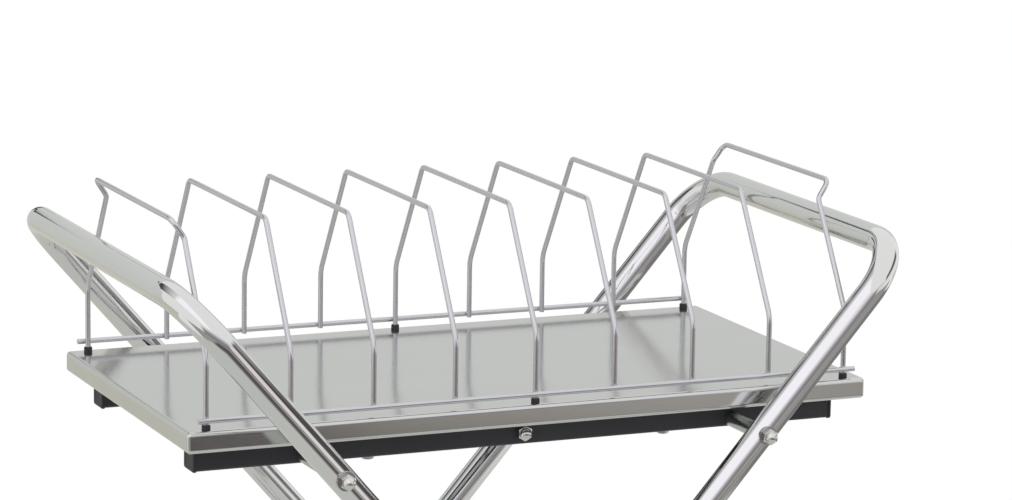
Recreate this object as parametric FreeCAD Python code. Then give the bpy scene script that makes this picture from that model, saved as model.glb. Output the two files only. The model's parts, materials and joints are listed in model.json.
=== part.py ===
import FreeCAD, Part
import math
import os

# Wheeled rack for medical chart binders, in millimetres.
# +X runs along the deck, +Y to the rear, +Z up. The floor is at Z = 0.
# Two bent tube frames cross under the deck, each leaning from its own hand grip to the
# opposite pair of casters. Cross rods tie both frames to a pair of square bars, and the
# bars carry a folded sheet deck with a welded wire rack on it.

# ---------------------------------------------------------------- driving dimensions

# Deck
DECK_TOP = 722.0          # height of the deck's upper face above the floor
DECK_LENGTH = 680.0
DECK_DEPTH = 364.0
DECK_EDGE = 20.0          # height of the folded edge
DECK_LIP = 12.0           # width of the lip turned in under the edge
DECK_SHEET = 1.2
DECK_BEND = 4.0           # outside radius of every fold

# Cross channels under the deck
CHANNEL_INSET = 190.0     # each channel's middle to the deck's end
CHANNEL_CROWN = 40.0
CHANNEL_FLANGE = 12.0
CHANNEL_SHEET = 1.2
CHANNEL_END_GAP = 2.0     # free space between a channel's end and the deck's lip

# Square bars under the deck
BAR_SIZE = 25.4
BAR_WALL = 1.6
BAR_END_INSET = 20.0      # a bar's end to the deck's end
BAR_EDGE_INSET = 48.0     # a bar's centre line to the deck's long edge
CAP_HEAD = 3.0            # thickness of a bar cap's head
CAP_PROUD = 0.8           # how far a cap's head stands out past its tube
CAP_PLUG = 14.0           # length of a cap's plug inside its tube
CAP_SLACK = 0.05          # space between a plug and its tube, each side

# Wire rack
WIRE = 5.0                # wire diameter
DIVIDER_COUNT = 9
DIVIDER_END_INSET = 20.0  # the outer dividers' posts to the deck's ends
POST_EDGE_INSET = 8.5     # every post's centre to the deck's long edge
KINK_HEIGHT = 64.5        # the posts lean in above this height over the deck
TOP_HEIGHT = 175.0        # centre line of the top wire over the deck
TOP_INSET = 67.5          # the top wire's corners lie this far inside the posts
KINK_RADIUS = 26.0
CORNER_RADIUS = 10.0
RAIL_HEIGHT = 9.0         # centre line of the long rails over the deck
RAIL_OVERHANG = 9.0       # rail past the outer divider's centre
FLARE_OUT = 11.5          # how far the end dividers' tops stand out from their posts
FLARE_BELOW = 12.0        # the end dividers bend outwards this far below the other tops
FLARE_RISE = 5.0          # their top wires lie this much higher than the others
FLARE_SPREAD = 6.0        # their corners lie this much further out than the others
FLARE_RADIUS = 9.0
FOOT_EVERY = 4            # every fourth divider stands on the deck, the others on the rails
FOOT_RING = 8.0           # diameter of the black ring under a standing post
FOOT_RING_HEIGHT = 4.5
STUD_BELOW = 8.0          # how far a standing post's stud reaches below the deck sheet
POST_NUT_FLATS = 8.0
POST_NUT_HEIGHT = 4.0

# Tube frames
TUBE = 25.4
TUBE_WALL = 1.5
TUBE_BEND = 55.0          # centre line radius of the bends at the hand grips
LEAN_DEG = 41.0           # lean of the legs from upright
GRIP_REACH = 21.0         # each hand grip's centre line past the deck's end
GRIP_ABOVE_DECK = 129.0
LEG_CLEARANCE = 28.0      # the narrow frame's leg centre line past the deck's edge
FRAME_GAP = 2.6           # free space between the two frames' legs where they cross
FOOT_TUBE_OVERHANG = 42.0
FOOT_CAP_HEAD = 2.5
FOOT_CAP_PLUG = 9.0

# Rods, spacers, nuts and washers
ROD = 8.0
ROD_HOLE_SLACK = 0.2      # radial space round a rod in a plain hole
LEG_ROD_DROP = 5.0        # the two leg rods lie this far below the bars' middle
MIDDLE_ROD_DROP = 1.3     # and the middle rod this far
THREAD_SLACK = 0.05       # radial space between a rod and its nut
SLEEVE = 15.0             # outside diameter of the spacers on the rods
NUT_FLATS = 13.0
NUT_HEIGHT = 6.5
NUT_DOME = 5.5
NUT_END_WALL = 2.0        # solid end of a dome nut
DOME_STEP = 0.5           # ledge between a nut's flats and its dome
ROD_END_SPACE = 1.0       # free space past a rod's end inside its nut
SADDLE = 18.0             # diameter of the washers that seat on a round tube
SADDLE_CROWN = 1.5        # thickness of such a washer over the tube's crest
SADDLE_WRAP = 2.0         # how far such a washer reaches down beside the crest
PIVOT_WASHER = 22.0
PIVOT_HEAD = 14.0
PIVOT_HEAD_HEIGHT = 5.0

# Screws that hold the channels on the bars
DECK_SCREW = 6.0
DECK_SCREW_FLATS = 10.0
DECK_SCREW_HEAD = 4.0
DECK_NUT_HEIGHT = 5.0
DECK_SCREW_END = 2.0      # thread past the nut

# Casters
WHEEL = 75.0
WHEEL_WIDTH = 22.0
WHEEL_TRAIL = 28.0        # wheel axle to swivel axis
TYRE_DEPTH = 9.0
TYRE_EDGE = 4.0
HUB_WIDTH = 25.0
HUB_BOSS = 22.0
HUB_WEB = 8.0
HUB_RIM = 4.0             # thickness of the rim under the tyre
HUB_RECESS = 1.0          # the rim is this much narrower than the tyre, each side
AXLE = 8.0
RUNNING_SLACK = 0.08      # radial space of a running fit
AXLE_HEAD = 13.0
AXLE_HEAD_HEIGHT = 4.0
FORK_SHEET = 3.0
FORK_TYRE_GAP = 2.5       # tyre side to fork cheek
FORK_TOP_GAP = 9.0        # tyre top to the fork's crown
FORK_NOSE = 17.0          # crown ahead of the swivel axis
FORK_CROWN_BACK = 15.0    # crown behind the swivel axis
FORK_CHEEK_BACK = 34.0    # cheeks' top edge behind the swivel axis
FORK_AXLE_EAR = 11.0      # radius of each cheek round the axle
FORK_FOLD = 1.8           # outside radius of the fold between crown and cheek
SWIVEL_GAP = 0.3
RACE = 30.0               # diameter of the fixed raceway
RACE_HEIGHT = 5.0
RIVET_HEAD = 20.0
RIVET_HEAD_HEIGHT = 2.5
STEM = 10.0
STEM_HOLE_SLACK = 0.2
BOOT = 26.0               # diameter of the block between the raceway and the foot tube
BOOT_HEIGHT = 3.0         # its height under the tube's lowest line
CASTER_OFFSET = 26.0      # swivel axis past the leg's centre line
STEM_NUT_FLATS = 17.0
STEM_NUT_HEIGHT = 8.0
STEM_NUT_DOME = 6.5
STEM_SADDLE = 22.0

# Brake pedals
BRAKE_PIN = 4.0
BRAKE_PIN_X = 25.0        # behind the swivel axis
BRAKE_PIN_DROP = 6.0      # below the fork's crown face
BRAKE_PIN_HEAD = 7.0
BRAKE_PIN_HEAD_HEIGHT = 1.5
BRAKE_HUB = 10.0
BRAKE_SIDE_GAP = 0.4      # pedal hub to fork cheek
PEDAL_SHEET = 4.0
PEDAL_REACH = 44.0        # pin to the pedal's end
PEDAL_WIDTH = 30.0
PEDAL_NECK = 12.0         # length of the narrow part between the cheeks
PEDAL_LIFT_DEG = 12.0     # slope of the pedal at rest
SHOE_LENGTH = 9.0
SHOE_DEPTH = 5.2
SHOE_FROM_PIN = 16.0

# Shares and margins used by several pieces
RIM_ROUND = 0.4           # rounding of a head's rim, as a share of the head's height
CORNER_ROUND = 0.2        # rounding of the pedal's corners, as a share of its width
SHOE_SHARE = 0.7          # width of the brake shoe, as a share of the pedal's neck
CUT_PAST = 1.0            # how far a cutting piece reaches past the face it cuts
NEAR = 0.01               # places closer than this count as the same

# ---------------------------------------------------------------- derived places

X_AXIS = FreeCAD.Vector(1, 0, 0)
Y_AXIS = FreeCAD.Vector(0, 1, 0)
Z_AXIS = FreeCAD.Vector(0, 0, 1)

BAR_LENGTH = DECK_LENGTH - 2 * BAR_END_INSET
BAR_Y = DECK_DEPTH / 2 - BAR_EDGE_INSET
CHANNEL_X = DECK_LENGTH / 2 - CHANNEL_INSET
DIVIDER_PITCH = (DECK_LENGTH - 2 * DIVIDER_END_INSET) / (DIVIDER_COUNT - 1)
POST_Y = DECK_DEPTH / 2 - POST_EDGE_INSET
TOP_Y = POST_Y - TOP_INSET
GRIP_X = DECK_LENGTH / 2 + GRIP_REACH
INNER_HALF_WIDTH = DECK_DEPTH / 2 + LEG_CLEARANCE
DECK_UNDER = DECK_TOP - DECK_SHEET
EDGE_BOTTOM = DECK_TOP - DECK_EDGE
BAR_Z = EDGE_BOTTOM - BAR_SIZE / 2
LEG_ROD_Z = BAR_Z - LEG_ROD_DROP
MIDDLE_ROD_Z = BAR_Z - MIDDLE_ROD_DROP
GRIP_Z = DECK_TOP + GRIP_ABOVE_DECK
LEAN = math.radians(LEAN_DEG)
OUTER_HALF_WIDTH = INNER_HALF_WIDTH + TUBE + FRAME_GAP
CROSS_Z = GRIP_Z - GRIP_X / math.tan(LEAN)
ROD_IN_NUT = NUT_HEIGHT + NUT_DOME - NUT_END_WALL - ROD_END_SPACE

AXLE_Z = WHEEL / 2
CROWN_UNDER = WHEEL + FORK_TOP_GAP
CROWN_TOP = CROWN_UNDER + FORK_SHEET
RACE_BOTTOM = CROWN_TOP + SWIVEL_GAP
RACE_TOP = RACE_BOTTOM + RACE_HEIGHT
FOOT_TUBE_Z = RACE_TOP + BOOT_HEIGHT + TUBE / 2
FORK_INNER = WHEEL_WIDTH / 2 + FORK_TYRE_GAP
FORK_OUTER = FORK_INNER + FORK_SHEET
BRAKE_PIN_Z = CROWN_TOP - BRAKE_PIN_DROP


def leg_x(z):
    """X of the left frame's leg centre line at a height; the right frame mirrors it."""
    return -GRIP_X + (GRIP_Z - z) * math.tan(LEAN)


ROD_X = leg_x(LEG_ROD_Z)
BAR_RODS = ((ROD_X, LEG_ROD_Z), (0, MIDDLE_ROD_Z), (-ROD_X, LEG_ROD_Z))
FOOT_TUBE_X = leg_x(FOOT_TUBE_Z)
LEFT, RIGHT = -1, 1
HALF_WIDTH = {LEFT: OUTER_HALF_WIDTH, RIGHT: INNER_HALF_WIDTH}
STANDING = range(0, DIVIDER_COUNT, FOOT_EVERY)

# ---------------------------------------------------------------- small helpers


def vec(x, y, z):
    return FreeCAD.Vector(x, y, z)


def cylinder(diameter, start, axis, length):
    return Part.makeCylinder(diameter / 2, length, start, axis)


def ring(outer, inner, start, axis, length):
    """A plain tube with the given diameters."""
    return cylinder(outer, start, axis, length).cut(cylinder(inner, start, axis, length))


def centred_box(centre, size):
    return Part.makeBox(size.x, size.y, size.z, centre - size * 0.5)


def along_y(diameter, x, z, y_from, y_to):
    return cylinder(diameter, vec(x, y_from, z), Y_AXIS, y_to - y_from)


def ring_along_y(outer, inner, x, z, y_from, y_to):
    return ring(outer, inner, vec(x, y_from, z), Y_AXIS, y_to - y_from)


def hexagon(flats, start, axis, height):
    """A hexagonal prism from its start point along an axis."""
    side = vec(0, 0, 1) if abs(axis.z) < 0.5 else vec(1, 0, 0)
    other = axis.cross(side)
    radius = flats / math.sqrt(3)
    corners = []
    for step in range(7):
        angle = math.radians(60 * step)
        corners.append(start + side * radius * math.cos(angle) + other * radius * math.sin(angle))
    return Part.Face(Part.makePolygon(corners)).extrude(axis * height)


def dome_nut(flats, height, dome, bore, start, axis):
    """A blind nut: hexagon, round dome, and a bore that stops short of the dome's end."""
    radius = flats / 2 - DOME_STEP
    ball = Part.makeSphere(radius, start + axis * (height + dome - radius))
    cap = ball.common(cylinder(2 * flats, start, axis, height + dome))
    hole = cylinder(bore, start, axis, height + dome - NUT_END_WALL)
    return hexagon(flats, start, axis, height).fuse(cap).cut(hole)


def edges_at(shape, **place):
    """The edges whose middle has the given x, y or z."""
    found = []
    for edge in shape.Edges:
        middle = edge.CenterOfMass
        if all(abs(getattr(middle, axis) - value) < NEAR for axis, value in place.items()):
            found.append(edge)
    return found


def headed(shape, height, **place):
    """Round the rim of a head."""
    return shape.makeFillet(height * RIM_ROUND, edges_at(shape, **place))


def rounded_path(points, radii):
    """Wire through the points, with an arc of the given radius at each inner point."""
    edges = []
    start = points[0]
    for before, corner, after, radius in zip(points, points[1:], points[2:], radii):
        into = (before - corner).normalize()
        out = (after - corner).normalize()
        half = into.getAngle(out) / 2
        reach = radius / math.tan(half)
        first = corner + into * reach
        last = corner + out * reach
        bisector = (into + out).normalize()
        middle = corner + bisector * (radius / math.sin(half) - radius)
        edges.append(Part.LineSegment(start, first).toShape())
        edges.append(Part.Arc(first, middle, last).toShape())
        start = last
    edges.append(Part.LineSegment(start, points[-1]).toShape())
    return Part.Wire(edges)


def swept(path, diameter):
    """A round bar along a path."""
    start = path.Edges[0]
    point = start.valueAt(start.FirstParameter)
    tangent = start.tangentAt(start.FirstParameter)
    section = Part.Wire(Part.makeCircle(diameter / 2, point, tangent))
    return path.makePipeShell([section], True, True)


def compound(shapes):
    return Part.makeCompound(shapes)


def mirrored_y(shape):
    return shape.mirror(vec(0, 0, 0), Y_AXIS)


# ---------------------------------------------------------------- deck and its carriers


def rounded_block(length, depth, bottom, top, radius):
    """A box with every edge rounded, centred on the Z axis."""
    block = Part.makeBox(length, depth, top - bottom, vec(-length / 2, -depth / 2, bottom))
    return block.makeFillet(radius, block.Edges)


def deck_tray():
    """Folded tray: flat top, edges turned down and a lip turned in below."""
    outer = rounded_block(DECK_LENGTH, DECK_DEPTH, EDGE_BOTTOM, DECK_TOP, DECK_BEND)
    inner = rounded_block(DECK_LENGTH - 2 * DECK_SHEET, DECK_DEPTH - 2 * DECK_SHEET,
                          EDGE_BOTTOM + DECK_SHEET, DECK_UNDER, DECK_BEND - DECK_SHEET)
    mouth = centred_box(vec(0, 0, EDGE_BOTTOM + DECK_SHEET / 2),
                        vec(DECK_LENGTH - 2 * DECK_LIP, DECK_DEPTH - 2 * DECK_LIP, DECK_SHEET + 2 * CUT_PAST))
    tray = outer.cut(inner).cut(mouth)
    holes = []
    for x, y in post_places():
        holes.append(cylinder(WIRE + 2 * ROD_HOLE_SLACK, vec(x, y, DECK_UNDER - CUT_PAST), Z_AXIS,
                              DECK_SHEET + 2 * CUT_PAST))
    return tray.cut(holes)


def deck_channel(x):
    """Hat section across the deck: its two flanges under the sheet, its crown on the bars."""
    half = DECK_DEPTH / 2 - DECK_LIP - CHANNEL_END_GAP
    height = DECK_UNDER - EDGE_BOTTOM
    crown = centred_box(vec(x, 0, EDGE_BOTTOM + CHANNEL_SHEET / 2),
                        vec(CHANNEL_CROWN, 2 * half, CHANNEL_SHEET))
    pieces = []
    for side in (LEFT, RIGHT):
        web_x = x + side * (CHANNEL_CROWN - CHANNEL_SHEET) / 2
        pieces.append(centred_box(vec(web_x, 0, EDGE_BOTTOM + height / 2),
                                  vec(CHANNEL_SHEET, 2 * half, height)))
        flange_x = x + side * (CHANNEL_CROWN / 2 - CHANNEL_SHEET + CHANNEL_FLANGE / 2)
        pieces.append(centred_box(vec(flange_x, 0, DECK_UNDER - CHANNEL_SHEET / 2),
                                  vec(CHANNEL_FLANGE, 2 * half, CHANNEL_SHEET)))
    channel = crown.fuse(pieces).removeSplitter()
    holes = []
    for y in (-BAR_Y, BAR_Y):
        holes.append(cylinder(DECK_SCREW + 2 * ROD_HOLE_SLACK, vec(x, y, EDGE_BOTTOM - CUT_PAST), Z_AXIS,
                              CHANNEL_SHEET + 2 * CUT_PAST))
    return channel.cut(holes)


def square_bar(y):
    """Square tube along X, drilled for the three cross rods and the two channel screws."""
    inner = BAR_SIZE - 2 * BAR_WALL
    bar = centred_box(vec(0, y, BAR_Z), vec(BAR_LENGTH, BAR_SIZE, BAR_SIZE))
    bar = bar.cut(centred_box(vec(0, y, BAR_Z), vec(BAR_LENGTH, inner, inner)))
    holes = []
    for x, z in BAR_RODS:
        holes.append(along_y(ROD + 2 * ROD_HOLE_SLACK, x, z, y - BAR_SIZE, y + BAR_SIZE))
    for x in (-CHANNEL_X, CHANNEL_X):
        holes.append(cylinder(DECK_SCREW + 2 * ROD_HOLE_SLACK, vec(x, y, BAR_Z - BAR_SIZE), Z_AXIS,
                              2 * BAR_SIZE))
    return bar.cut(holes)


def bar_cap(side, y):
    """Black plug in a bar's end with a square head just larger than the tube."""
    end = side * BAR_LENGTH / 2
    head_size = BAR_SIZE + 2 * CAP_PROUD
    head = centred_box(vec(end + side * CAP_HEAD / 2, y, BAR_Z), vec(CAP_HEAD, head_size, head_size))
    head = headed(head, CAP_HEAD, x=end + side * CAP_HEAD)
    # the head is trimmed level with the bar's upper face, clear of the deck's lip
    head = head.cut(centred_box(vec(end, y, EDGE_BOTTOM + head_size / 2),
                                vec(4 * CAP_HEAD, 2 * head_size, head_size)))
    plug_size = BAR_SIZE - 2 * BAR_WALL - 2 * CAP_SLACK
    plug = centred_box(vec(end - side * CAP_PLUG / 2, y, BAR_Z), vec(CAP_PLUG, plug_size, plug_size))
    return head.fuse(plug)


def deck_screw(x, y):
    bottom = BAR_Z - BAR_SIZE / 2
    top = EDGE_BOTTOM + CHANNEL_SHEET + DECK_NUT_HEIGHT + DECK_SCREW_END
    head = hexagon(DECK_SCREW_FLATS, vec(x, y, bottom - DECK_SCREW_HEAD), Z_AXIS, DECK_SCREW_HEAD)
    return head.fuse(cylinder(DECK_SCREW, vec(x, y, bottom), Z_AXIS, top - bottom))


def deck_nut(x, y):
    start = vec(x, y, EDGE_BOTTOM + CHANNEL_SHEET)
    nut = hexagon(DECK_SCREW_FLATS, start, Z_AXIS, DECK_NUT_HEIGHT)
    return nut.cut(cylinder(DECK_SCREW + 2 * THREAD_SLACK, start, Z_AXIS, DECK_NUT_HEIGHT))


# ---------------------------------------------------------------- wire rack


def divider_x(index):
    return (index - (DIVIDER_COUNT - 1) / 2) * DIVIDER_PITCH


def post_places():
    """Centres of the posts that stand on the deck."""
    places = []
    for index in STANDING:
        for y in (-POST_Y, POST_Y):
            places.append((divider_x(index), y))
    return places


def divider(index):
    """One bent wire: post, inward lean, top wire, and the same down the other side."""
    x = divider_x(index)
    standing = index in STANDING
    foot = DECK_UNDER - STUD_BELOW if standing else DECK_TOP + RAIL_HEIGHT - WIRE / 2
    kink = DECK_TOP + KINK_HEIGHT
    top = DECK_TOP + TOP_HEIGHT
    side = [vec(x, -POST_Y, foot), vec(x, -POST_Y, kink)]
    radii = [KINK_RADIUS]
    if index in (0, DIVIDER_COUNT - 1):
        outward = LEFT if index == 0 else RIGHT
        share = (TOP_HEIGHT - FLARE_BELOW - KINK_HEIGHT) / (TOP_HEIGHT - KINK_HEIGHT)
        side.append(vec(x, -POST_Y + TOP_INSET * share, top - FLARE_BELOW))
        side.append(vec(x + outward * FLARE_OUT, -TOP_Y - FLARE_SPREAD, top + FLARE_RISE))
        radii += [FLARE_RADIUS, FLARE_RADIUS]
    else:
        side.append(vec(x, -TOP_Y, top))
        radii.append(CORNER_RADIUS)
    other = [vec(point.x, -point.y, point.z) for point in reversed(side)]
    return swept(rounded_path(side + other, radii + radii[::-1]), WIRE)


def rack_rail(side):
    """Long wire on the outer side of the posts, which holds all the dividers."""
    half = abs(divider_x(0)) + RAIL_OVERHANG
    y = side * (POST_Y + WIRE)
    return cylinder(WIRE, vec(-half, y, DECK_TOP + RAIL_HEIGHT), X_AXIS, 2 * half)


def post_foot(x, y):
    return ring(FOOT_RING, WIRE + 2 * THREAD_SLACK, vec(x, y, DECK_TOP), Z_AXIS, FOOT_RING_HEIGHT)


def post_nut(x, y):
    start = vec(x, y, DECK_UNDER - POST_NUT_HEIGHT)
    nut = hexagon(POST_NUT_FLATS, start, Z_AXIS, POST_NUT_HEIGHT)
    return nut.cut(cylinder(WIRE + 2 * THREAD_SLACK, start, Z_AXIS, POST_NUT_HEIGHT))


# ---------------------------------------------------------------- tube frames


def frame_path(side):
    """Centre line of one frame, from the front leg's foot over the grip to the rear foot."""
    half = HALF_WIDTH[side]
    foot_x = -side * FOOT_TUBE_X
    points = [vec(foot_x, -half, FOOT_TUBE_Z), vec(side * GRIP_X, -half, GRIP_Z),
              vec(side * GRIP_X, half, GRIP_Z), vec(foot_x, half, FOOT_TUBE_Z)]
    return rounded_path(points, [TUBE_BEND, TUBE_BEND])


def tube_frame(side):
    """Bent tube, coped on to its foot tube and drilled for the cross rod and the pivot."""
    path = frame_path(side)
    half = HALF_WIDTH[side]
    reach = half + TUBE
    tube = swept(path, TUBE).cut(swept(path, TUBE - 2 * TUBE_WALL))
    tube = tube.cut(along_y(TUBE, -side * FOOT_TUBE_X, FOOT_TUBE_Z, -reach, reach))
    bore = ROD + 2 * ROD_HOLE_SLACK
    holes = [along_y(bore, -side * ROD_X, LEG_ROD_Z, -reach, reach), along_y(bore, 0, CROSS_Z, -reach, reach)]
    return tube.cut(holes)


def leg_solid(side, y_side):
    """The straight leg's outside as a plain cylinder, used to seat pieces against it."""
    start = vec(side * GRIP_X, y_side * HALF_WIDTH[side], GRIP_Z)
    end = vec(-side * FOOT_TUBE_X, y_side * HALF_WIDTH[side], FOOT_TUBE_Z)
    return cylinder(TUBE, start, (end - start).normalize(), (end - start).Length)


def foot_tube(side):
    """Cross tube at the floor end of the opposite grip's frame, with its caster holes."""
    half = HALF_WIDTH[-side] + FOOT_TUBE_OVERHANG
    x = side * FOOT_TUBE_X
    tube = ring_along_y(TUBE, TUBE - 2 * TUBE_WALL, x, FOOT_TUBE_Z, -half, half)
    holes = []
    for y in caster_ys(side):
        holes.append(cylinder(STEM + 2 * STEM_HOLE_SLACK, vec(x, y, FOOT_TUBE_Z - TUBE), Z_AXIS, 2 * TUBE))
    return tube.cut(holes)


def foot_cap(side, y_side):
    x = side * FOOT_TUBE_X
    end = HALF_WIDTH[-side] + FOOT_TUBE_OVERHANG
    head = along_y(TUBE, x, FOOT_TUBE_Z, end, end + FOOT_CAP_HEAD)
    head = headed(head, FOOT_CAP_HEAD, y=end + FOOT_CAP_HEAD)
    plug = along_y(TUBE - 2 * TUBE_WALL - 2 * CAP_SLACK, x, FOOT_TUBE_Z, end - FOOT_CAP_PLUG, end)
    cap = head.fuse(plug)
    return cap if y_side > 0 else mirrored_y(cap)


# ---------------------------------------------------------------- rods, spacers, nuts


def cross_rod(x, z, seat):
    """Straight rod along Y, reaching into a blind nut on each seat."""
    end = seat + ROD_IN_NUT
    return along_y(ROD, x, z, -end, end)


def saddle_washer(x, z, y_crest, outward, leg):
    """Washer that is flat outside and seats on a round tube's crest inside."""
    inner = y_crest - outward * SADDLE_WRAP
    outer = y_crest + outward * SADDLE_CROWN
    low, high = min(inner, outer), max(inner, outer)
    return ring_along_y(SADDLE, ROD + 2 * ROD_HOLE_SLACK, x, z, low, high).cut(leg)


def rod_nut(x, z, y, outward):
    return dome_nut(NUT_FLATS, NUT_HEIGHT, NUT_DOME, ROD + 2 * THREAD_SLACK, vec(x, y, z), Y_AXIS * outward)


def frame_rod_seat(side):
    """Distance from the middle to the nut's seat on a frame's cross rod."""
    return HALF_WIDTH[side] + TUBE / 2 + SADDLE_CROWN


def leg_spacer(side, y_side):
    """Spacer on a cross rod from a bar's outer face to the leg, coped to the round tube."""
    near = BAR_Y + BAR_SIZE / 2
    far = HALF_WIDTH[side]
    low, high = (near, far) if y_side > 0 else (-far, -near)
    spacer = ring_along_y(SLEEVE, ROD + 2 * ROD_HOLE_SLACK, -side * ROD_X, LEG_ROD_Z, low, high)
    return spacer.cut(leg_solid(side, y_side))


def bar_sleeve(x, z):
    half = BAR_Y - BAR_SIZE / 2
    return ring_along_y(SLEEVE, ROD + 2 * ROD_HOLE_SLACK, x, z, -half, half)


def pivot_bolt(y_side):
    """Bolt through both legs where they cross, head outside."""
    outer = OUTER_HALF_WIDTH + TUBE / 2 + SADDLE_CROWN
    inner = INNER_HALF_WIDTH - TUBE / 2 - SADDLE_CROWN
    shank = along_y(ROD, 0, CROSS_Z, inner - ROD_IN_NUT, outer)
    head = along_y(PIVOT_HEAD, 0, CROSS_Z, outer, outer + PIVOT_HEAD_HEIGHT)
    bolt = shank.fuse(headed(head, PIVOT_HEAD_HEIGHT, y=outer + PIVOT_HEAD_HEIGHT))
    return bolt if y_side > 0 else mirrored_y(bolt)


def pivot_washer(y_side):
    low = INNER_HALF_WIDTH + TUBE / 2
    washer = ring_along_y(PIVOT_WASHER, ROD + 2 * ROD_HOLE_SLACK, 0, CROSS_Z, low, low + FRAME_GAP)
    return washer if y_side > 0 else mirrored_y(washer)


# ---------------------------------------------------------------- casters
# A caster is built with its swivel axis on the Z axis and its wheel trailing to +X.


def caster_ys(side):
    y = HALF_WIDTH[-side] + CASTER_OFFSET
    return (-y, y)


def place_caster(shape, side, y):
    """Turn a caster piece so that its wheel trails outwards, and move it under its tube."""
    placed = shape.copy()
    if side == LEFT:
        placed.rotate(vec(0, 0, 0), Z_AXIS, 180)
    placed.translate(vec(side * FOOT_TUBE_X, y, 0))
    return placed


def caster_stem():
    """Fixed stem with its raceway, and the rivet head that keeps the fork on."""
    rivet_top = CROWN_UNDER - SWIVEL_GAP
    thread = STEM_NUT_HEIGHT + STEM_NUT_DOME - NUT_END_WALL - ROD_END_SPACE
    stem_top = FOOT_TUBE_Z + TUBE / 2 + SADDLE_CROWN + thread
    stem = cylinder(STEM, vec(0, 0, rivet_top), Z_AXIS, stem_top - rivet_top)
    race = cylinder(RACE, vec(0, 0, RACE_BOTTOM), Z_AXIS, RACE_HEIGHT)
    rivet = cylinder(RIVET_HEAD, vec(0, 0, rivet_top - RIVET_HEAD_HEIGHT), Z_AXIS, RIVET_HEAD_HEIGHT)
    return stem.fuse([headed(race, RACE_HEIGHT, z=RACE_TOP), rivet])


def caster_boot():
    """Block on the raceway, coped to the underside of the foot tube."""
    block = ring(BOOT, STEM + 2 * STEM_HOLE_SLACK, vec(0, 0, RACE_TOP), Z_AXIS, BOOT_HEIGHT + TUBE / 4)
    return block.cut(along_y(TUBE, 0, FOOT_TUBE_Z, -BOOT, BOOT))


def caster_top_washer():
    crest = FOOT_TUBE_Z + TUBE / 2
    block = ring(STEM_SADDLE, STEM + 2 * STEM_HOLE_SLACK, vec(0, 0, crest - SADDLE_WRAP), Z_AXIS,
                 SADDLE_WRAP + SADDLE_CROWN)
    return block.cut(along_y(TUBE, 0, FOOT_TUBE_Z, -BOOT, BOOT))


def caster_nut():
    seat = vec(0, 0, FOOT_TUBE_Z + TUBE / 2 + SADDLE_CROWN)
    return dome_nut(STEM_NUT_FLATS, STEM_NUT_HEIGHT, STEM_NUT_DOME, STEM + 2 * THREAD_SLACK, seat, Z_AXIS)


def fork_cheek_outline():
    """Side outline of the fork: a straight top, narrowing to a round ear at the axle."""
    axle = vec(WHEEL_TRAIL, 0, AXLE_Z)
    front = vec(-FORK_NOSE, 0, CROWN_TOP)
    back = vec(FORK_CHEEK_BACK, 0, CROWN_TOP)
    lower_back = vec(FORK_CHEEK_BACK, 0, CROWN_UNDER - FORK_TOP_GAP)

    def touch(point, sign):
        """Point where a line from a corner touches the ear's circle."""
        away = point - axle
        angle = math.atan2(away.z, away.x) + sign * math.acos(FORK_AXLE_EAR / away.Length)
        return axle + vec(math.cos(angle), 0, math.sin(angle)) * FORK_AXLE_EAR

    lower_front = vec(-FORK_NOSE, 0, CROWN_UNDER)
    front_touch = touch(lower_front, 1)
    back_touch = touch(lower_back, -1)
    bottom = axle - Z_AXIS * FORK_AXLE_EAR
    edges = [Part.LineSegment(lower_front, front).toShape(),
             Part.LineSegment(front, back).toShape(),
             Part.LineSegment(back, lower_back).toShape(),
             Part.LineSegment(lower_back, back_touch).toShape(),
             Part.Arc(back_touch, bottom, front_touch).toShape(),
             Part.LineSegment(front_touch, lower_front).toShape()]
    return Part.Face(Part.Wire(edges))


def caster_fork(with_brake):
    """Bent sheet fork: a crown over the wheel and a cheek on each side."""
    crown_length = FORK_NOSE + FORK_CROWN_BACK
    crown = centred_box(vec((FORK_CROWN_BACK - FORK_NOSE) / 2, 0, CROWN_TOP - FORK_SHEET / 2),
                        vec(crown_length, 2 * FORK_OUTER, FORK_SHEET))
    outline = fork_cheek_outline()
    cheeks = []
    for y in (-FORK_OUTER, FORK_INNER):
        cheek = outline.copy()
        cheek.translate(vec(0, y, 0))
        cheeks.append(cheek.extrude(Y_AXIS * FORK_SHEET))
    fork = crown.fuse(cheeks).removeSplitter()
    folds = edges_at(fork, y=-FORK_OUTER, z=CROWN_TOP) + edges_at(fork, y=FORK_OUTER, z=CROWN_TOP)
    fork = fork.makeFillet(FORK_FOLD, folds)
    past = FORK_OUTER + CUT_PAST
    holes = [cylinder(STEM + 2 * RUNNING_SLACK, vec(0, 0, CROWN_UNDER - CUT_PAST), Z_AXIS,
                      FORK_SHEET + 2 * CUT_PAST),
             along_y(AXLE + 2 * THREAD_SLACK, WHEEL_TRAIL, AXLE_Z, -past, past)]
    if with_brake:
        holes.append(along_y(BRAKE_PIN + 2 * THREAD_SLACK, BRAKE_PIN_X, BRAKE_PIN_Z, -past, past))
    return fork.cut(holes)


def headed_pin(diameter, head, head_height, x, z):
    """Riveted pin across the fork with a head outside each cheek."""
    shank = along_y(diameter, x, z, -FORK_OUTER, FORK_OUTER)
    heads = []
    for low in (-FORK_OUTER - head_height, FORK_OUTER):
        disc = along_y(head, x, z, low, low + head_height)
        heads.append(headed(disc, head_height, y=low if low < 0 else low + head_height))
    return shank.fuse(heads)


def caster_tyre():
    """Rubber ring with rounded shoulders, turned about the axle."""
    half = WHEEL_WIDTH / 2
    block = along_y(WHEEL, WHEEL_TRAIL, AXLE_Z, -half, half)
    block = block.makeFillet(TYRE_EDGE, edges_at(block, y=-half) + edges_at(block, y=half))
    return block.cut(along_y(WHEEL - 2 * TYRE_DEPTH, WHEEL_TRAIL, AXLE_Z, -WHEEL_WIDTH, WHEEL_WIDTH))


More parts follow.
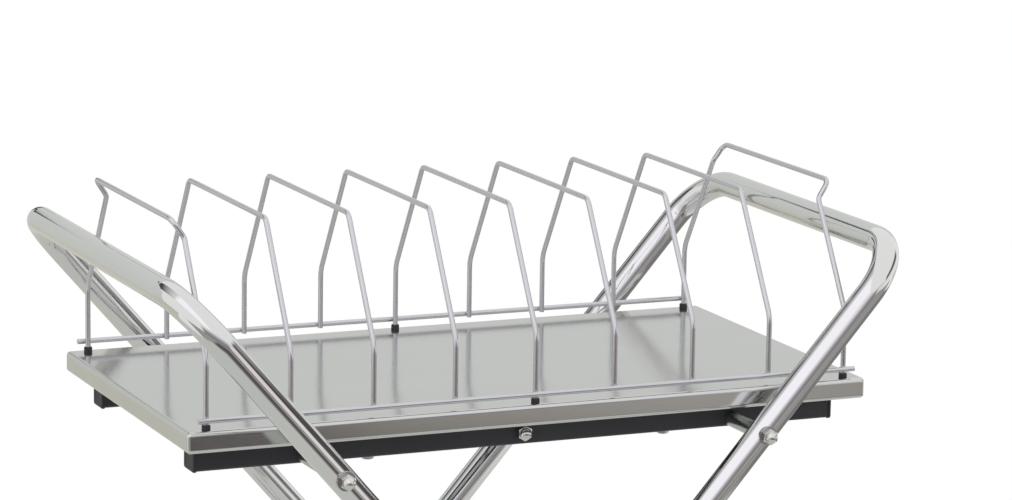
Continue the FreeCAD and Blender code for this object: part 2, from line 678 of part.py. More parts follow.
def caster_hub():
    """Plastic hub: rim inside the tyre, thin web, and a long boss round the axle."""
    rim_outer = WHEEL - 2 * TYRE_DEPTH
    half = WHEEL_WIDTH / 2 - HUB_RECESS
    x, z = WHEEL_TRAIL, AXLE_Z
    rim = ring_along_y(rim_outer, rim_outer - 2 * HUB_RIM, x, z, -half, half)
    web = along_y(rim_outer - HUB_RIM, x, z, -HUB_WEB / 2, HUB_WEB / 2)
    boss = along_y(HUB_BOSS, x, z, -HUB_WIDTH / 2, HUB_WIDTH / 2)
    bore = along_y(AXLE + 2 * RUNNING_SLACK, x, z, -HUB_WIDTH, HUB_WIDTH)
    return rim.fuse([web, boss]).removeSplitter().cut(bore)


def brake_pedal():
    """Foot pedal on a pin across the fork, with the shoe that comes down on the tyre."""
    pin = vec(BRAKE_PIN_X, 0, BRAKE_PIN_Z)
    neck_width = 2 * (FORK_INNER - BRAKE_SIDE_GAP)
    hub = along_y(BRAKE_HUB, pin.x, pin.z, -neck_width / 2, neck_width / 2)
    neck = centred_box(pin + vec(PEDAL_NECK / 2, 0, 0), vec(PEDAL_NECK, neck_width, PEDAL_SHEET))
    pad_length = PEDAL_REACH - PEDAL_NECK
    pad = centred_box(pin + vec(PEDAL_NECK + pad_length / 2, 0, 0), vec(pad_length, PEDAL_WIDTH, PEDAL_SHEET))
    pad = pad.makeFillet(PEDAL_WIDTH * CORNER_ROUND, edges_at(pad, x=pin.x + PEDAL_REACH, z=pin.z))
    shoe = centred_box(pin + vec(SHOE_FROM_PIN, 0, -(PEDAL_SHEET + SHOE_DEPTH) / 2),
                       vec(SHOE_LENGTH, neck_width * SHOE_SHARE, SHOE_DEPTH))
    pedal = hub.fuse([neck, pad, shoe]).removeSplitter()
    pedal = pedal.cut(along_y(BRAKE_PIN + 2 * RUNNING_SLACK, pin.x, pin.z, -FORK_OUTER, FORK_OUTER))
    pedal.rotate(pin, Y_AXIS, -PEDAL_LIFT_DEG)
    return pedal


# ---------------------------------------------------------------- assembly


def build_nodes():
    """Every sub-part as a dictionary of node name to shape."""
    nodes = {"deck_tray": deck_tray()}
    for name, side in (("left", LEFT), ("right", RIGHT)):
        nodes["deck_channel_" + name] = deck_channel(side * CHANNEL_X)
    screw_places = [(x, y) for x in (-CHANNEL_X, CHANNEL_X) for y in (-BAR_Y, BAR_Y)]
    nodes["deck_screws"] = compound([deck_screw(x, y) for x, y in screw_places])
    nodes["deck_screw_nuts"] = compound([deck_nut(x, y) for x, y in screw_places])
    nodes["bar_front"] = square_bar(-BAR_Y)
    nodes["bar_rear"] = square_bar(BAR_Y)
    nodes["bar_end_caps"] = compound([bar_cap(side, y) for side in (LEFT, RIGHT) for y in (-BAR_Y, BAR_Y)])

    for index in range(DIVIDER_COUNT):
        nodes["divider_%d" % (index + 1)] = divider(index)
    nodes["rack_rail_front"] = rack_rail(-1)
    nodes["rack_rail_rear"] = rack_rail(1)
    nodes["rack_post_feet"] = compound([post_foot(x, y) for x, y in post_places()])
    nodes["rack_post_nuts"] = compound([post_nut(x, y) for x, y in post_places()])

    nodes["frame_left"] = tube_frame(LEFT)
    nodes["frame_right"] = tube_frame(RIGHT)
    nodes["foot_tube_left"] = foot_tube(LEFT)
    nodes["foot_tube_right"] = foot_tube(RIGHT)
    nodes["foot_tube_caps"] = compound([foot_cap(side, y) for side in (LEFT, RIGHT) for y in (-1, 1)])

    nodes["cross_rod_left"] = cross_rod(ROD_X, LEG_ROD_Z, frame_rod_seat(LEFT))
    nodes["cross_rod_right"] = cross_rod(-ROD_X, LEG_ROD_Z, frame_rod_seat(RIGHT))
    bar_face = BAR_Y + BAR_SIZE / 2
    nodes["cross_rod_middle"] = cross_rod(0, MIDDLE_ROD_Z, bar_face)
    nodes["bar_sleeves"] = compound([bar_sleeve(x, z) for x, z in BAR_RODS])
    nodes["leg_spacers"] = compound([leg_spacer(side, y) for side in (LEFT, RIGHT) for y in (-1, 1)])

    nuts = []
    saddles = []
    for y in (-1, 1):
        nuts.append(rod_nut(0, MIDDLE_ROD_Z, y * bar_face, y))
        for side in (LEFT, RIGHT):
            nuts.append(rod_nut(-side * ROD_X, LEG_ROD_Z, y * frame_rod_seat(side), y))
            crest = y * (HALF_WIDTH[side] + TUBE / 2)
            saddles.append(saddle_washer(-side * ROD_X, LEG_ROD_Z, crest, y, leg_solid(side, y)))
        inner_crest = INNER_HALF_WIDTH - TUBE / 2
        nuts.append(rod_nut(0, CROSS_Z, y * (inner_crest - SADDLE_CROWN), -y))
        saddles.append(saddle_washer(0, CROSS_Z, y * inner_crest, -y, leg_solid(RIGHT, y)))
        outer_crest = y * (OUTER_HALF_WIDTH + TUBE / 2)
        saddles.append(saddle_washer(0, CROSS_Z, outer_crest, y, leg_solid(LEFT, y)))
    nodes["dome_nuts"] = compound(nuts)
    nodes["saddle_washers"] = compound(saddles)
    nodes["pivot_bolts"] = compound([pivot_bolt(y) for y in (-1, 1)])
    nodes["pivot_washers"] = compound([pivot_washer(y) for y in (-1, 1)])

    add_casters(nodes)
    return nodes


def add_casters(nodes):
    """Four swivel casters; the two at the left end have a brake pedal."""
    stems, boots, washers, nuts = [], [], [], []
    for side_name, side in (("left", LEFT), ("right", RIGHT)):
        for end_name, y in zip(("front", "rear"), caster_ys(side)):
            name = "caster_%s_%s_" % (end_name, side_name)
            braked = side == LEFT
            moving = {"fork": caster_fork(braked),
                      "axle": headed_pin(AXLE, AXLE_HEAD, AXLE_HEAD_HEIGHT, WHEEL_TRAIL, AXLE_Z),
                      "hub": caster_hub(),
                      "tyre": caster_tyre()}
            if braked:
                moving["brake_pin"] = headed_pin(BRAKE_PIN, BRAKE_PIN_HEAD, BRAKE_PIN_HEAD_HEIGHT,
                                                 BRAKE_PIN_X, BRAKE_PIN_Z)
                moving["brake_pedal"] = brake_pedal()
            for piece, shape in moving.items():
                nodes[name + piece] = place_caster(shape, side, y)
            stems.append(place_caster(caster_stem(), side, y))
            boots.append(place_caster(caster_boot(), side, y))
            washers.append(place_caster(caster_top_washer(), side, y))
            nuts.append(place_caster(caster_nut(), side, y))
    nodes["caster_stems"] = compound(stems)
    nodes["caster_boots"] = compound(boots)
    nodes["caster_top_washers"] = compound(washers)
    nodes["caster_stem_nuts"] = compound(nuts)


def main():
    os.makedirs("parts", exist_ok=True)
    for name, shape in build_nodes().items():
        if not shape.isValid():
            raise ValueError("invalid shape: " + name)
        shape.exportStep("parts/%s.step" % name)
        box = shape.BoundBox
        print("%-30s solids %2d  volume %10.1f  x %7.1f..%7.1f  y %7.1f..%7.1f  z %6.1f..%6.1f" % (
            name, len(shape.Solids), shape.Volume, box.XMin, box.XMax, box.YMin, box.YMax, box.ZMin, box.ZMax))


main()
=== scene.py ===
"""A wheeled rack for medical chart binders, dressed round its fixed construction model.

Places and lengths are in metres. Where they are in millimetres, the class says so or the name
ends in mm. +X runs along the deck to the right hand grip, +Y to the rear and +Z up, with the
floor at Z = 0.
"""
import json
import logging
import math
from collections.abc import Sequence
from dataclasses import dataclass, field
from enum import Enum

import bmesh
import bpy
from mathutils import Euler, Matrix, Vector


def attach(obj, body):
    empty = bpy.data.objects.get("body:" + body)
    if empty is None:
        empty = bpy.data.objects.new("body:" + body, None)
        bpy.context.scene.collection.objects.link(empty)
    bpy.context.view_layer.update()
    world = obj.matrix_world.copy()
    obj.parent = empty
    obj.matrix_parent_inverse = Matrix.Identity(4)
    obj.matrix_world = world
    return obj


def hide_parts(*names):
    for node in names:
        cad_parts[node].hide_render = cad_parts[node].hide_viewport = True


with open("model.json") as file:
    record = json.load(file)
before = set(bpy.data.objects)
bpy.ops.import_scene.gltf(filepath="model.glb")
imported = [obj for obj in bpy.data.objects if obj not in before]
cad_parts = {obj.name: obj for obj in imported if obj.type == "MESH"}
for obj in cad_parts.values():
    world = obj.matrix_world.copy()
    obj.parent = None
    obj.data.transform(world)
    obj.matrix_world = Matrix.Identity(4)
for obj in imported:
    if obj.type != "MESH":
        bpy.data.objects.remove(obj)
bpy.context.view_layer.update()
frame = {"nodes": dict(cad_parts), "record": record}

LOG = logging.getLogger("chart_rack")
FRAME_BODY = "frame"
MM = 0.001
ORIGIN = Matrix.Identity(4)
# Folds steeper than the first angle are shown crisp, and those flatter than the second are
# taken out before a rim is broken.
SHARP_ANGLE = math.radians(38)
FLAT_ANGLE = math.radians(0.5)
# Points closer than this are one point, in a drawn shape and in a construction node.
DRAWN_JOIN = 1e-7
NODE_JOIN = 1e-6
# A broken rim's chords across its width.
RIM_SEGMENTS = 2
# The radius, in millimetres, at which the end of a turned shape is closed.
POLE_MM = 0.05
# The sides of a turned shape or a nut. It is a multiple of six, so that a nut's corners show.
TURN_SIDES = 48
# A nut's chamfer: its slope, and the end faces' radius as a share of half the width.
CHAMFER_ANGLE = math.radians(30)
CHAMFER_SHARE = 0.93
# The Mix node's colour sockets, by number, because it has others of the same names.
MIX_FROM, MIX_TO, MIX_RESULT = 6, 7, 2

Path = list[tuple[Vector, float]]
Profile = Sequence[tuple[float, float]]
Triple = tuple[float, float, float]
Spot = tuple[Vector, Triple]


class Side(Enum):
    """An end of the rack along the deck, by the sign of its X."""

    LEFT = -1
    RIGHT = 1

    def label(self) -> str:
        """Give the side's word in names."""
        return self.name.lower()

    def across(self) -> "Side":
        """Give the other side."""
        return Side(-self.value)


@dataclass(frozen=True)
class Section:
    """A round section: its diameter in metres and how finely it and its bends are cut."""

    diameter: float
    sides: int
    bend_steps: int


# ------------------------------------------------------------------ node and mesh helpers


def linear(code: str) -> tuple[float, float, float, float]:
    """Turn an sRGB hex colour into a linear one.

    Args:
        code: the colour as six hex digits after a hash.

    Returns:
        Red, green, blue and an alpha of one.
    """
    parts = [int(code[i : i + 2], 16) / 255 for i in (1, 3, 5)]
    turned = [c / 12.92 if c <= 0.04045 else ((c + 0.055) / 1.055) ** 2.4 for c in parts]
    return (turned[0], turned[1], turned[2], 1.0)


def add(
    tree: bpy.types.NodeTree, kind: str, feeds: dict | None = None, **settings: object
) -> bpy.types.Node:
    """Add one node to a tree with its settings, its values and its links.

    Args:
        tree: the tree that gets the node.
        kind: the node's identifier, such as ShaderNodeMath.
        feeds: for each input, by name or number, an output to link or a value to set.
        settings: the node's own properties.

    Returns:
        The new node.
    """
    node = tree.nodes.new(kind)
    for name, value in settings.items():
        setattr(node, name, value)
    for key, value in (feeds or {}).items():
        socket = node.inputs[key]
        if isinstance(value, bpy.types.NodeSocket):
            tree.links.new(value, socket)
        else:
            socket.default_value = value
    return node


def mesh_object(name: str, mesh: bpy.types.Mesh) -> bpy.types.Object:
    """Link a new object that shows a mesh.

    Args:
        name: the object's name.
        mesh: the mesh that it shows.

    Returns:
        The new object.
    """
    made = bpy.data.objects.new(name, mesh)
    bpy.context.scene.collection.objects.link(made)
    return made


def from_rows(
    name: str, points: list[Vector], edges: list[tuple[int, int]], faces: list[list[int]]
) -> bpy.types.Object:
    """Make an object from lists of points, edges and faces.

    Args:
        name: the object's name.
        points: the places of the vertices.
        edges: pairs of vertex numbers, which may be empty when there are faces.
        faces: lists of vertex numbers.

    Returns:
        The new object.
    """
    mesh = bpy.data.meshes.new(name)
    mesh.from_pydata([tuple(p) for p in points], edges, faces)
    mesh.update()
    return mesh_object(name, mesh)


def guide_object(name: str, paths: list[Path], closed: bool = False) -> bpy.types.Object:
    """Make an object of bare edges along which a Geometry Nodes tree sweeps a section.

    Args:
        name: the object's name.
        paths: for each run, its corner points and the bend radius at each of them.
        closed: whether each run ends where it starts.

    Returns:
        The object, with the radii in the attribute "bend".
    """
    points: list[Vector] = []
    bends: list[float] = []
    edges: list[tuple[int, int]] = []
    for path in paths:
        first = len(points)
        points += [place for place, _ in path]
        bends += [bend for _, bend in path]
        edges += [(i, i + 1) for i in range(first, len(points) - 1)]
        if closed:
            edges.append((len(points) - 1, first))
    made = from_rows(name, points, edges, [])
    attribute = made.data.attributes.new("bend", "FLOAT", "POINT")
    attribute.data.foreach_set("value", bends)
    return made


def new_tree(name: str, sockets: dict[str, str]) -> tuple[bpy.types.NodeTree, bpy.types.Node]:
    """Start a Geometry Nodes tree with named inputs and one geometry output.

    Args:
        name: the tree's name.
        sockets: each input's name and its socket type, after the geometry.

    Returns:
        The tree and its input node.
    """
    tree = bpy.data.node_groups.new(name, "GeometryNodeTree")
    tree.interface.new_socket("Geometry", in_out="INPUT", socket_type="NodeSocketGeometry")
    for label, kind in sockets.items():
        tree.interface.new_socket(label, in_out="INPUT", socket_type=kind)
    tree.interface.new_socket("Geometry", in_out="OUTPUT", socket_type="NodeSocketGeometry")
    return tree, tree.nodes.new("NodeGroupInput")


def close_tree(
    tree: bpy.types.NodeTree, geometry: bpy.types.NodeSocket, finish: bpy.types.NodeSocket
) -> None:
    """End a tree: smooth faces with sharp folds, real geometry and one material.

    Args:
        tree: the tree to end.
        geometry: what the tree has made.
        finish: the input that holds the material.
    """
    smooth = add(tree, "GeometryNodeSetShadeSmooth", {"Geometry": geometry})
    angle = add(tree, "GeometryNodeInputMeshEdgeAngle")
    feeds = {"A": angle.outputs["Unsigned Angle"], "B": SHARP_ANGLE}
    fold = add(tree, "FunctionNodeCompare", feeds, data_type="FLOAT", operation="GREATER_THAN")
    real = add(tree, "GeometryNodeRealizeInstances", {"Geometry": smooth.outputs[0]})
    feeds = {"Geometry": real.outputs[0], "Selection": fold.outputs["Result"], "Shade Smooth": False}
    sharp = add(tree, "GeometryNodeSetShadeSmooth", feeds, domain="EDGE")
    coated = add(tree, "GeometryNodeSetMaterial", {"Geometry": sharp.outputs[0], "Material": finish})
    add(tree, "NodeGroupOutput", {"Geometry": coated.outputs[0]})


def keep(made: bpy.types.Object, modifier: bpy.types.Modifier) -> bpy.types.Object:
    """Keep what a modifier makes of an object as its plain mesh.

    Args:
        made: the object.
        modifier: its only modifier, which is removed.

    Returns:
        The same object.
    """
    shown = made.evaluated_get(bpy.context.evaluated_depsgraph_get())
    mesh = bpy.data.meshes.new_from_object(shown)
    mesh.name = made.name
    made.modifiers.remove(modifier)
    made.data = mesh
    return made


def settle(
    made: bpy.types.Object, tree: bpy.types.NodeTree, sizes: dict[str, object]
) -> bpy.types.Object:
    """Run a Geometry Nodes tree on an object and keep the result as a plain mesh.

    Args:
        made: the object that the tree starts from.
        tree: the tree to run.
        sizes: values for the tree's named inputs.

    Returns:
        The same object, with the finished mesh and no modifier.
    """
    modifier = made.modifiers.new(tree.name, "NODES")
    modifier.node_group = tree
    for item in tree.interface.items_tree:
        if item.item_type == "SOCKET" and item.in_out == "INPUT" and item.name in sizes:
            modifier[item.identifier] = sizes[item.name]
    return keep(made, modifier)


def hand_in(made: bpy.types.Object, body: str, slot: str, *nodes: str) -> None:
    """Set a piece on the body that carries it, hide the nodes that it stands for, and log it.

    Args:
        made: the finished piece.
        body: the body that carries it.
        slot: the record's material slot; not used.
        nodes: the construction nodes that it replaces, if any.
    """
    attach(made, body)
    if nodes:
        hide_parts(*nodes)
    LOG.info("%s rides on %s, %d faces", made.name, body, len(made.data.polygons))


# ------------------------------------------------------------------ shells made point by point


class Facing(Enum):
    """Which way a shape's own +Z points once it is placed, as turns about X, Y and Z."""

    UP = (0.0, 0.0, 0.0)
    DOWN = (math.pi, 0.0, 0.0)
    FRONT = (math.pi / 2, 0.0, 0.0)
    REAR = (-math.pi / 2, 0.0, 0.0)
    LEFT = (0.0, -math.pi / 2, 0.0)
    RIGHT = (0.0, math.pi / 2, 0.0)

    def turn(self) -> Matrix:
        """Give the turn as a matrix."""
        return Euler(self.value).to_matrix().to_4x4()


def placed(x: float, y: float, z: float, facing: Facing = Facing.UP) -> Matrix:
    """Give the matrix that takes a shape drawn along +Z to a place and a direction.

    Args:
        x: the place along the deck, in metres.
        y: the place front to rear.
        z: the height.
        facing: where the shape's own +Z points.

    Returns:
        The matrix.
    """
    return Matrix.Translation((x, y, z)) @ facing.turn()


def rounded_outline(corners: Profile, radii: list[float], steps: int = 6) -> list[Vector]:
    """Round the corners of a closed flat outline.

    Args:
        corners: the corners in order, counter-clockwise.
        radii: the radius at each corner, 0 for a sharp one.
        steps: how many chords each rounding has.

    Returns:
        The outline's points, with Z = 0.
    """
    points: list[Vector] = []
    for index, corner in enumerate(corners):
        here = Vector((*corner, 0.0))
        if not radii[index]:
            points.append(here)
            continue
        before = (Vector((*corners[index - 1], 0.0)) - here).normalized()
        after = (Vector((*corners[(index + 1) % len(corners)], 0.0)) - here).normalized()
        half = before.angle(after) / 2
        middle = here + (before + after).normalized() * (radii[index] / math.sin(half))
        start = (here + before * (radii[index] / math.tan(half)) - middle).normalized()
        end = (here + after * (radii[index] / math.tan(half)) - middle).normalized()
        points += [middle + start.slerp(end, step / steps) * radii[index] for step in range(steps + 1)]
    return points


def square_outline(side: float, radius: float) -> list[Vector]:
    """Give a square with rounded corners, centred on the origin."""
    half = side / 2
    return rounded_outline([(-half, -half), (half, -half), (half, half), (-half, half)], [radius] * 4)


class Shell:
    """Collects the points and faces of closed bodies that make one piece."""

    def __init__(self) -> None:
        """Start empty."""
        self.points: list[Vector] = []
        self.faces: list[list[int]] = []

    def loop(self, points: list[Vector]) -> list[int]:
        """Add a loop of points.

        Args:
            points: the loop's points in order.

        Returns:
            The points' numbers.
        """
        first = len(self.points)
        self.points += points
        return list(range(first, len(self.points)))

    def bridge(self, below: list[int], above: list[int]) -> None:
        """Join two loops of the same count with a band of faces.

        Args:
            below: the point numbers of one loop.
            above: the point numbers of the next loop.
        """
        count = len(below)
        for i in range(count):
            j = (i + 1) % count
            self.faces.append([below[i], below[j], above[j], above[i]])

    def stack(self, loops: list[list[Vector]], ring: bool = False) -> None:
        """Join loops one to the next, and close both ends or the ring that they make.

        Args:
            loops: loops of the same count, from one end to the other.
            ring: whether the last loop joins the first one.
        """
        rows = [self.loop(points) for points in loops]
        for below, above in zip(rows, rows[1:]):
            self.bridge(below, above)
        if ring:
            self.bridge(rows[-1], rows[0])
        else:
            self.faces.append(rows[0][::-1])
            self.faces.append(rows[-1])

    def turned(
        self, profile: Profile, place: Matrix, steps: int = TURN_SIDES, ring: bool = False
    ) -> None:
        """Turn a profile about the place's +Z.

        Args:
            profile: radius and height of each point, in millimetres.
            place: where the turned body stands.
            steps: how many sides it has.
            ring: whether the profile closes on itself round a hole.
        """
        loops = []
        for radius, height in profile:
            loop = []
            for step in range(steps):
                angle = 2 * math.pi * step / steps
                flat = Vector((radius * math.cos(angle), radius * math.sin(angle), height))
                loop.append(place @ (flat * MM))
            loops.append(loop)
        self.stack(loops, ring)

    def slab(self, outline: list[Vector], thickness: float, place: Matrix, edge: float) -> None:
        """Add a plate of an outline, with its rims broken by a small round.

        Args:
            outline: the plate's outline in metres, with Z = 0.
            thickness: how thick it is, along the place's +Z.
            place: where the outline lies.
            edge: how far the rims are broken.
        """
        centre = sum(outline, Vector()) / len(outline)
        reach = max((point - centre).length for point in outline)
        inner = [centre + (point - centre) * (1 - edge / reach) for point in outline]
        layers = [(inner, 0.0), (outline, edge), (outline, thickness - edge), (inner, thickness)]
        self.stack([[place @ (point + Vector((0, 0, z))) for point in loop] for loop, z in layers])

    def hexagon(self, flats: float, height: float, place: Matrix, bore: float) -> None:
        """Add a hexagon nut with turned chamfers at both ends.

        Args:
            flats: its width across the flats, in millimetres.
            height: its height in millimetres.
            place: its seat, with +Z away from it.
            bore: the hole's radius in millimetres.
        """
        face = flats / 2 * CHAMFER_SHARE
        sixth = math.pi / 3
        rings = []
        for step in range(TURN_SIDES):
            angle = 2 * math.pi * step / TURN_SIDES
            off_flat = (angle + sixth / 2) % sixth - sixth / 2
            out = flats / 2 / math.cos(off_flat)
            drop = (out - face) * math.tan(CHAMFER_ANGLE)
            lower = [(bore, 0.0), (face, 0.0), (out, drop)]
            section = lower + [(radius, height - z) for radius, z in reversed(lower)]
            rings.append([
                place @ (Vector((radius * math.cos(angle), radius * math.sin(angle), z)) * MM)
                for radius, z in section
            ])
        self.stack([list(loop) for loop in zip(*rings)], ring=True)

    def piece(self, name: str, finish: bpy.types.Material | None = None) -> bpy.types.Object:
        """Make the collected bodies one object with outward faces and crisp folds.

        Args:
            name: the object's name.
            finish: the material, if it is known here.

        Returns:
            The new object.
        """
        made = from_rows(name, self.points, [], self.faces)
        form = bmesh.new()
        form.from_mesh(made.data)
        bmesh.ops.remove_doubles(form, verts=form.verts, dist=DRAWN_JOIN)
        bmesh.ops.recalc_face_normals(form, faces=form.faces)
        form.to_mesh(made.data)
        form.free()
        if finish:
            made.data.materials.append(finish)
        return evened(made)


def evened(made: bpy.types.Object) -> bpy.types.Object:
    """Shade a piece smooth with sharp folds, and let its large faces rule the normals.

    Args:
        made: the piece.

    Returns:
        The same object with its shading baked in the mesh.
    """
    made.data.shade_smooth()
    made.data.set_sharp_from_angle(angle=SHARP_ANGLE)
    modifier = made.modifiers.new("even_normals", "WEIGHTED_NORMAL")
    modifier.keep_sharp = True
    return keep(made, modifier)


def softened(name: str, node: str, width_mm: float) -> bpy.types.Object:
    """Make a piece in the form of a construction node, with every crisp rim broken.

    Args:
        name: the piece's name.
        node: the node whose form it takes.
        width_mm: how wide each rim's round is.

    Returns:
        The new object, in its node's finish.
    """
    source = frame["nodes"][node].data
    form = bmesh.new()
    form.from_mesh(source)
    bmesh.ops.remove_doubles(form, verts=form.verts, dist=NODE_JOIN)
    bmesh.ops.dissolve_limit(form, angle_limit=FLAT_ANGLE, verts=form.verts, edges=form.edges)
    rims = [edge for edge in form.edges if edge.is_manifold and edge.calc_face_angle() > SHARP_ANGLE]
    bmesh.ops.bevel(
        form, geom=rims, offset=width_mm * MM, offset_type="OFFSET", segments=RIM_SEGMENTS,
        profile=0.5, affect="EDGES", clamp_overlap=True,
    )
    mesh = bpy.data.meshes.new(name)
    form.to_mesh(mesh)
    form.free()
    mesh.materials.append(source.materials[0])
    return evened(mesh_object(name, mesh))


# ------------------------------------------------------------------ finishes


@dataclass(frozen=True)
class Finish:
    """A surface: its two tones, how it scatters light, and its patches and grain."""

    name: str
    colour: str
    shade: str
    metallic: float = 0.0
    roughness: float = 0.4
    spread: float = 0.05
    patch_mm: float = 60.0
    grain_mm: float = 0.6
    grain_depth_mm: float = 0.004
    stretch: Triple = (1.0, 1.0, 1.0)
    run: str = ""
    patch_detail: float = 3.0
    grain_detail: float = 2.0
    # the sum of two noises lies nearly always between these
    noise_sum: tuple[float, float] = (0.6, 1.4)

    def build(self) -> bpy.types.Material:
        """Build the material with patches of tone, uneven gloss and fine grain.

        Returns:
            The finished material.
        """
        material = bpy.data.materials.new(self.name)
        material.use_nodes = True
        material.diffuse_color = linear(self.colour)
        tree = material.node_tree
        tree.nodes.clear()
        place = self.place(tree)
        shader = add(tree, "ShaderNodeBsdfPrincipled", {"Metallic": self.metallic})
        add(tree, "ShaderNodeOutputMaterial", {"Surface": shader.outputs[0]})
        patches = self.noise(tree, place, self.patch_mm, self.patch_detail)
        grain = self.noise(tree, place, self.grain_mm, self.grain_detail)
        feeds = {0: patches, MIX_FROM: linear(self.colour), MIX_TO: linear(self.shade)}
        tone = add(tree, "ShaderNodeMix", feeds, data_type="RGBA")
        tree.links.new(tone.outputs[MIX_RESULT], shader.inputs["Base Color"])
        both = add(tree, "ShaderNodeMath", {0: patches, 1: grain}, operation="ADD")
        gloss = add(
            tree, "ShaderNodeMapRange",
            {
                "Value": both.outputs[0],
                "From Min": self.noise_sum[0],
                "From Max": self.noise_sum[1],
                "To Min": self.roughness - self.spread,
                "To Max": self.roughness + self.spread,
            },
        )
        tree.links.new(gloss.outputs[0], shader.inputs["Roughness"])
        feeds = {"Height": grain, "Distance": self.grain_depth_mm * MM, "Strength": 1.0}
        bump = add(tree, "ShaderNodeBump", feeds)
        tree.links.new(bump.outputs[0], shader.inputs["Normal"])
        return material

    def place(self, tree: bpy.types.NodeTree) -> bpy.types.NodeSocket:
        """Give the place that patterns read, stretched along the grain.

        Args:
            tree: the material's tree.

        Returns:
            The place on the object, or along the attribute that the finish follows.
        """
        if self.run:
            where = add(tree, "ShaderNodeAttribute", attribute_name=self.run).outputs["Vector"]
        else:
            where = add(tree, "ShaderNodeTexCoord").outputs["Object"]
        return add(tree, "ShaderNodeMapping", {"Vector": where, "Scale": self.stretch}).outputs[0]

    def noise(
        self, tree: bpy.types.NodeTree, place: bpy.types.NodeSocket, size_mm: float, detail: float
    ) -> bpy.types.NodeSocket:
        """Give noise whose blobs are a size in millimetres.

        Args:
            tree: the material's tree.
            place: where the pattern reads.
            size_mm: the size of a blob.
            detail: how many finer layers it has.

        Returns:
            The noise, from 0 to 1.
        """
        feeds = {"Vector": place, "Scale": 1 / (size_mm * MM), "Detail": detail}
        return add(tree, "ShaderNodeTexNoise", feeds).outputs["Fac"]


# The real grain of these metals and plastics is about 0.05 to 0.1 mm across, which is too fine
# to show. It is drawn at 0.5 to 1.5 mm. Only the enamel's peel is drawn at its real size.

# Cold-rolled 2B stainless sheet, left as it comes from the mill: a soft mirror with a faint
# rolling grain along the deck, slightly warm, with hand-sized cloudy patches.
STAINLESS = Finish(
    "cold_rolled_stainless_sheet", "#d2d3d2", "#cbccca", metallic=1.0, roughness=0.13, spread=0.03,
    patch_mm=90.0, grain_mm=1.2, grain_depth_mm=0.002, stretch=(0.12, 1.0, 1.0),
)
# Black stoving enamel sprayed on square steel tube: satin, with slight orange peel.
BLACK_ENAMEL = Finish(
    "black_stoving_enamel", "#26252a", "#2b2a2f", roughness=0.38, spread=0.06,
    patch_mm=40.0, grain_mm=1.6, grain_depth_mm=0.02,
)
# Injection-moulded black nylon: matte, with a fine spark-eroded grain.
BLACK_NYLON = Finish(
    "moulded_black_nylon", "#1d1d1f", "#232326", roughness=0.55, spread=0.06,
    patch_mm=20.0, grain_mm=0.7, grain_depth_mm=0.03,
)
# Drawn steel wire with bright nickel plate: soft sheen and faint lines along the wire.
NICKEL_WIRE = Finish(
    "nickel_plated_wire", "#d3d2d6", "#c6c5ca", metallic=1.0, roughness=0.2, spread=0.05,
    patch_mm=25.0, grain_mm=0.8, grain_depth_mm=0.003, stretch=(0.1, 1.0, 1.0), run="run",
)
# The same plate on the weld nuggets, which have no run of their own: duller and rougher.
NICKEL_WELD = Finish(
    "nickel_plated_weld", "#c9c8cc", "#b4b3b8", metallic=1.0, roughness=0.3, spread=0.06,
    patch_mm=4.0, grain_mm=0.6, grain_depth_mm=0.02,
)
# Bright chrome plate on welded steel tube: a near mirror, faint polishing lines along the
# tube and dull hand marks.
CHROME_PLATE = Finish(
    "bright_chrome_plate", "#dedfde", "#d5d6d4", metallic=1.0, roughness=0.06, spread=0.025,
    patch_mm=70.0, grain_mm=1.5, grain_depth_mm=0.002, stretch=(0.08, 1.0, 1.0), run="run",
)
# The same plate on the weld beads, without lines along them: a mirror broken by small ripples.
CHROME_FITTING = Finish(
    "chrome_plated_fitting", "#dedfde", "#d3d4d2", metallic=1.0, roughness=0.08, spread=0.02,
    patch_mm=30.0, grain_mm=1.0, grain_depth_mm=0.002,
)
# Clear zinc plate on pressed and turned steel: greyish, half dull, cloudy.
ZINC_PLATE = Finish(
    "clear_zinc_plate", "#c3c6c9", "#aeb2b4", metallic=1.0, roughness=0.3, spread=0.08,
    patch_mm=14.0, grain_mm=0.8, grain_depth_mm=0.01,
)
# Bright nickel on cold-formed nuts and bolts: a mirror with slight waviness.
BRIGHT_NICKEL = Finish(
    "bright_nickel_plate", "#dcdad6", "#d2d0cb", metallic=1.0, roughness=0.1, spread=0.03,
    patch_mm=12.0, grain_mm=1.0, grain_depth_mm=0.003,
)
# Natural nylon washer: milky, waxy.
NATURAL_NYLON = Finish(
    "natural_nylon", "#e6e4da", "#dcdacf", roughness=0.4, spread=0.05,
    patch_mm=8.0, grain_mm=0.5, grain_depth_mm=0.01,
)
# Light grey polypropylene wheel centre: moulded, dull gloss with flow marks.
HUB_PLASTIC = Finish(
    "moulded_grey_polypropylene", "#cbcac6", "#c2c1bc", roughness=0.38, spread=0.06,
    patch_mm=12.0, grain_mm=0.8, grain_depth_mm=0.01,
)
# Grey non-marking rubber tread: matte, with dust in its grain.
GREY_RUBBER = Finish(
    "grey_rubber_tread", "#77787b", "#8a8a8b", roughness=0.75, spread=0.08,
    patch_mm=10.0, grain_mm=0.6, grain_depth_mm=0.05,
)
# Moulded black ABS pedal: glossy, with fine scuffs.
BLACK_ABS = Finish(
    "moulded_black_abs", "#1f1f21", "#27272a", roughness=0.25, spread=0.08,
    patch_mm=18.0, grain_mm=0.6, grain_depth_mm=0.01,
)

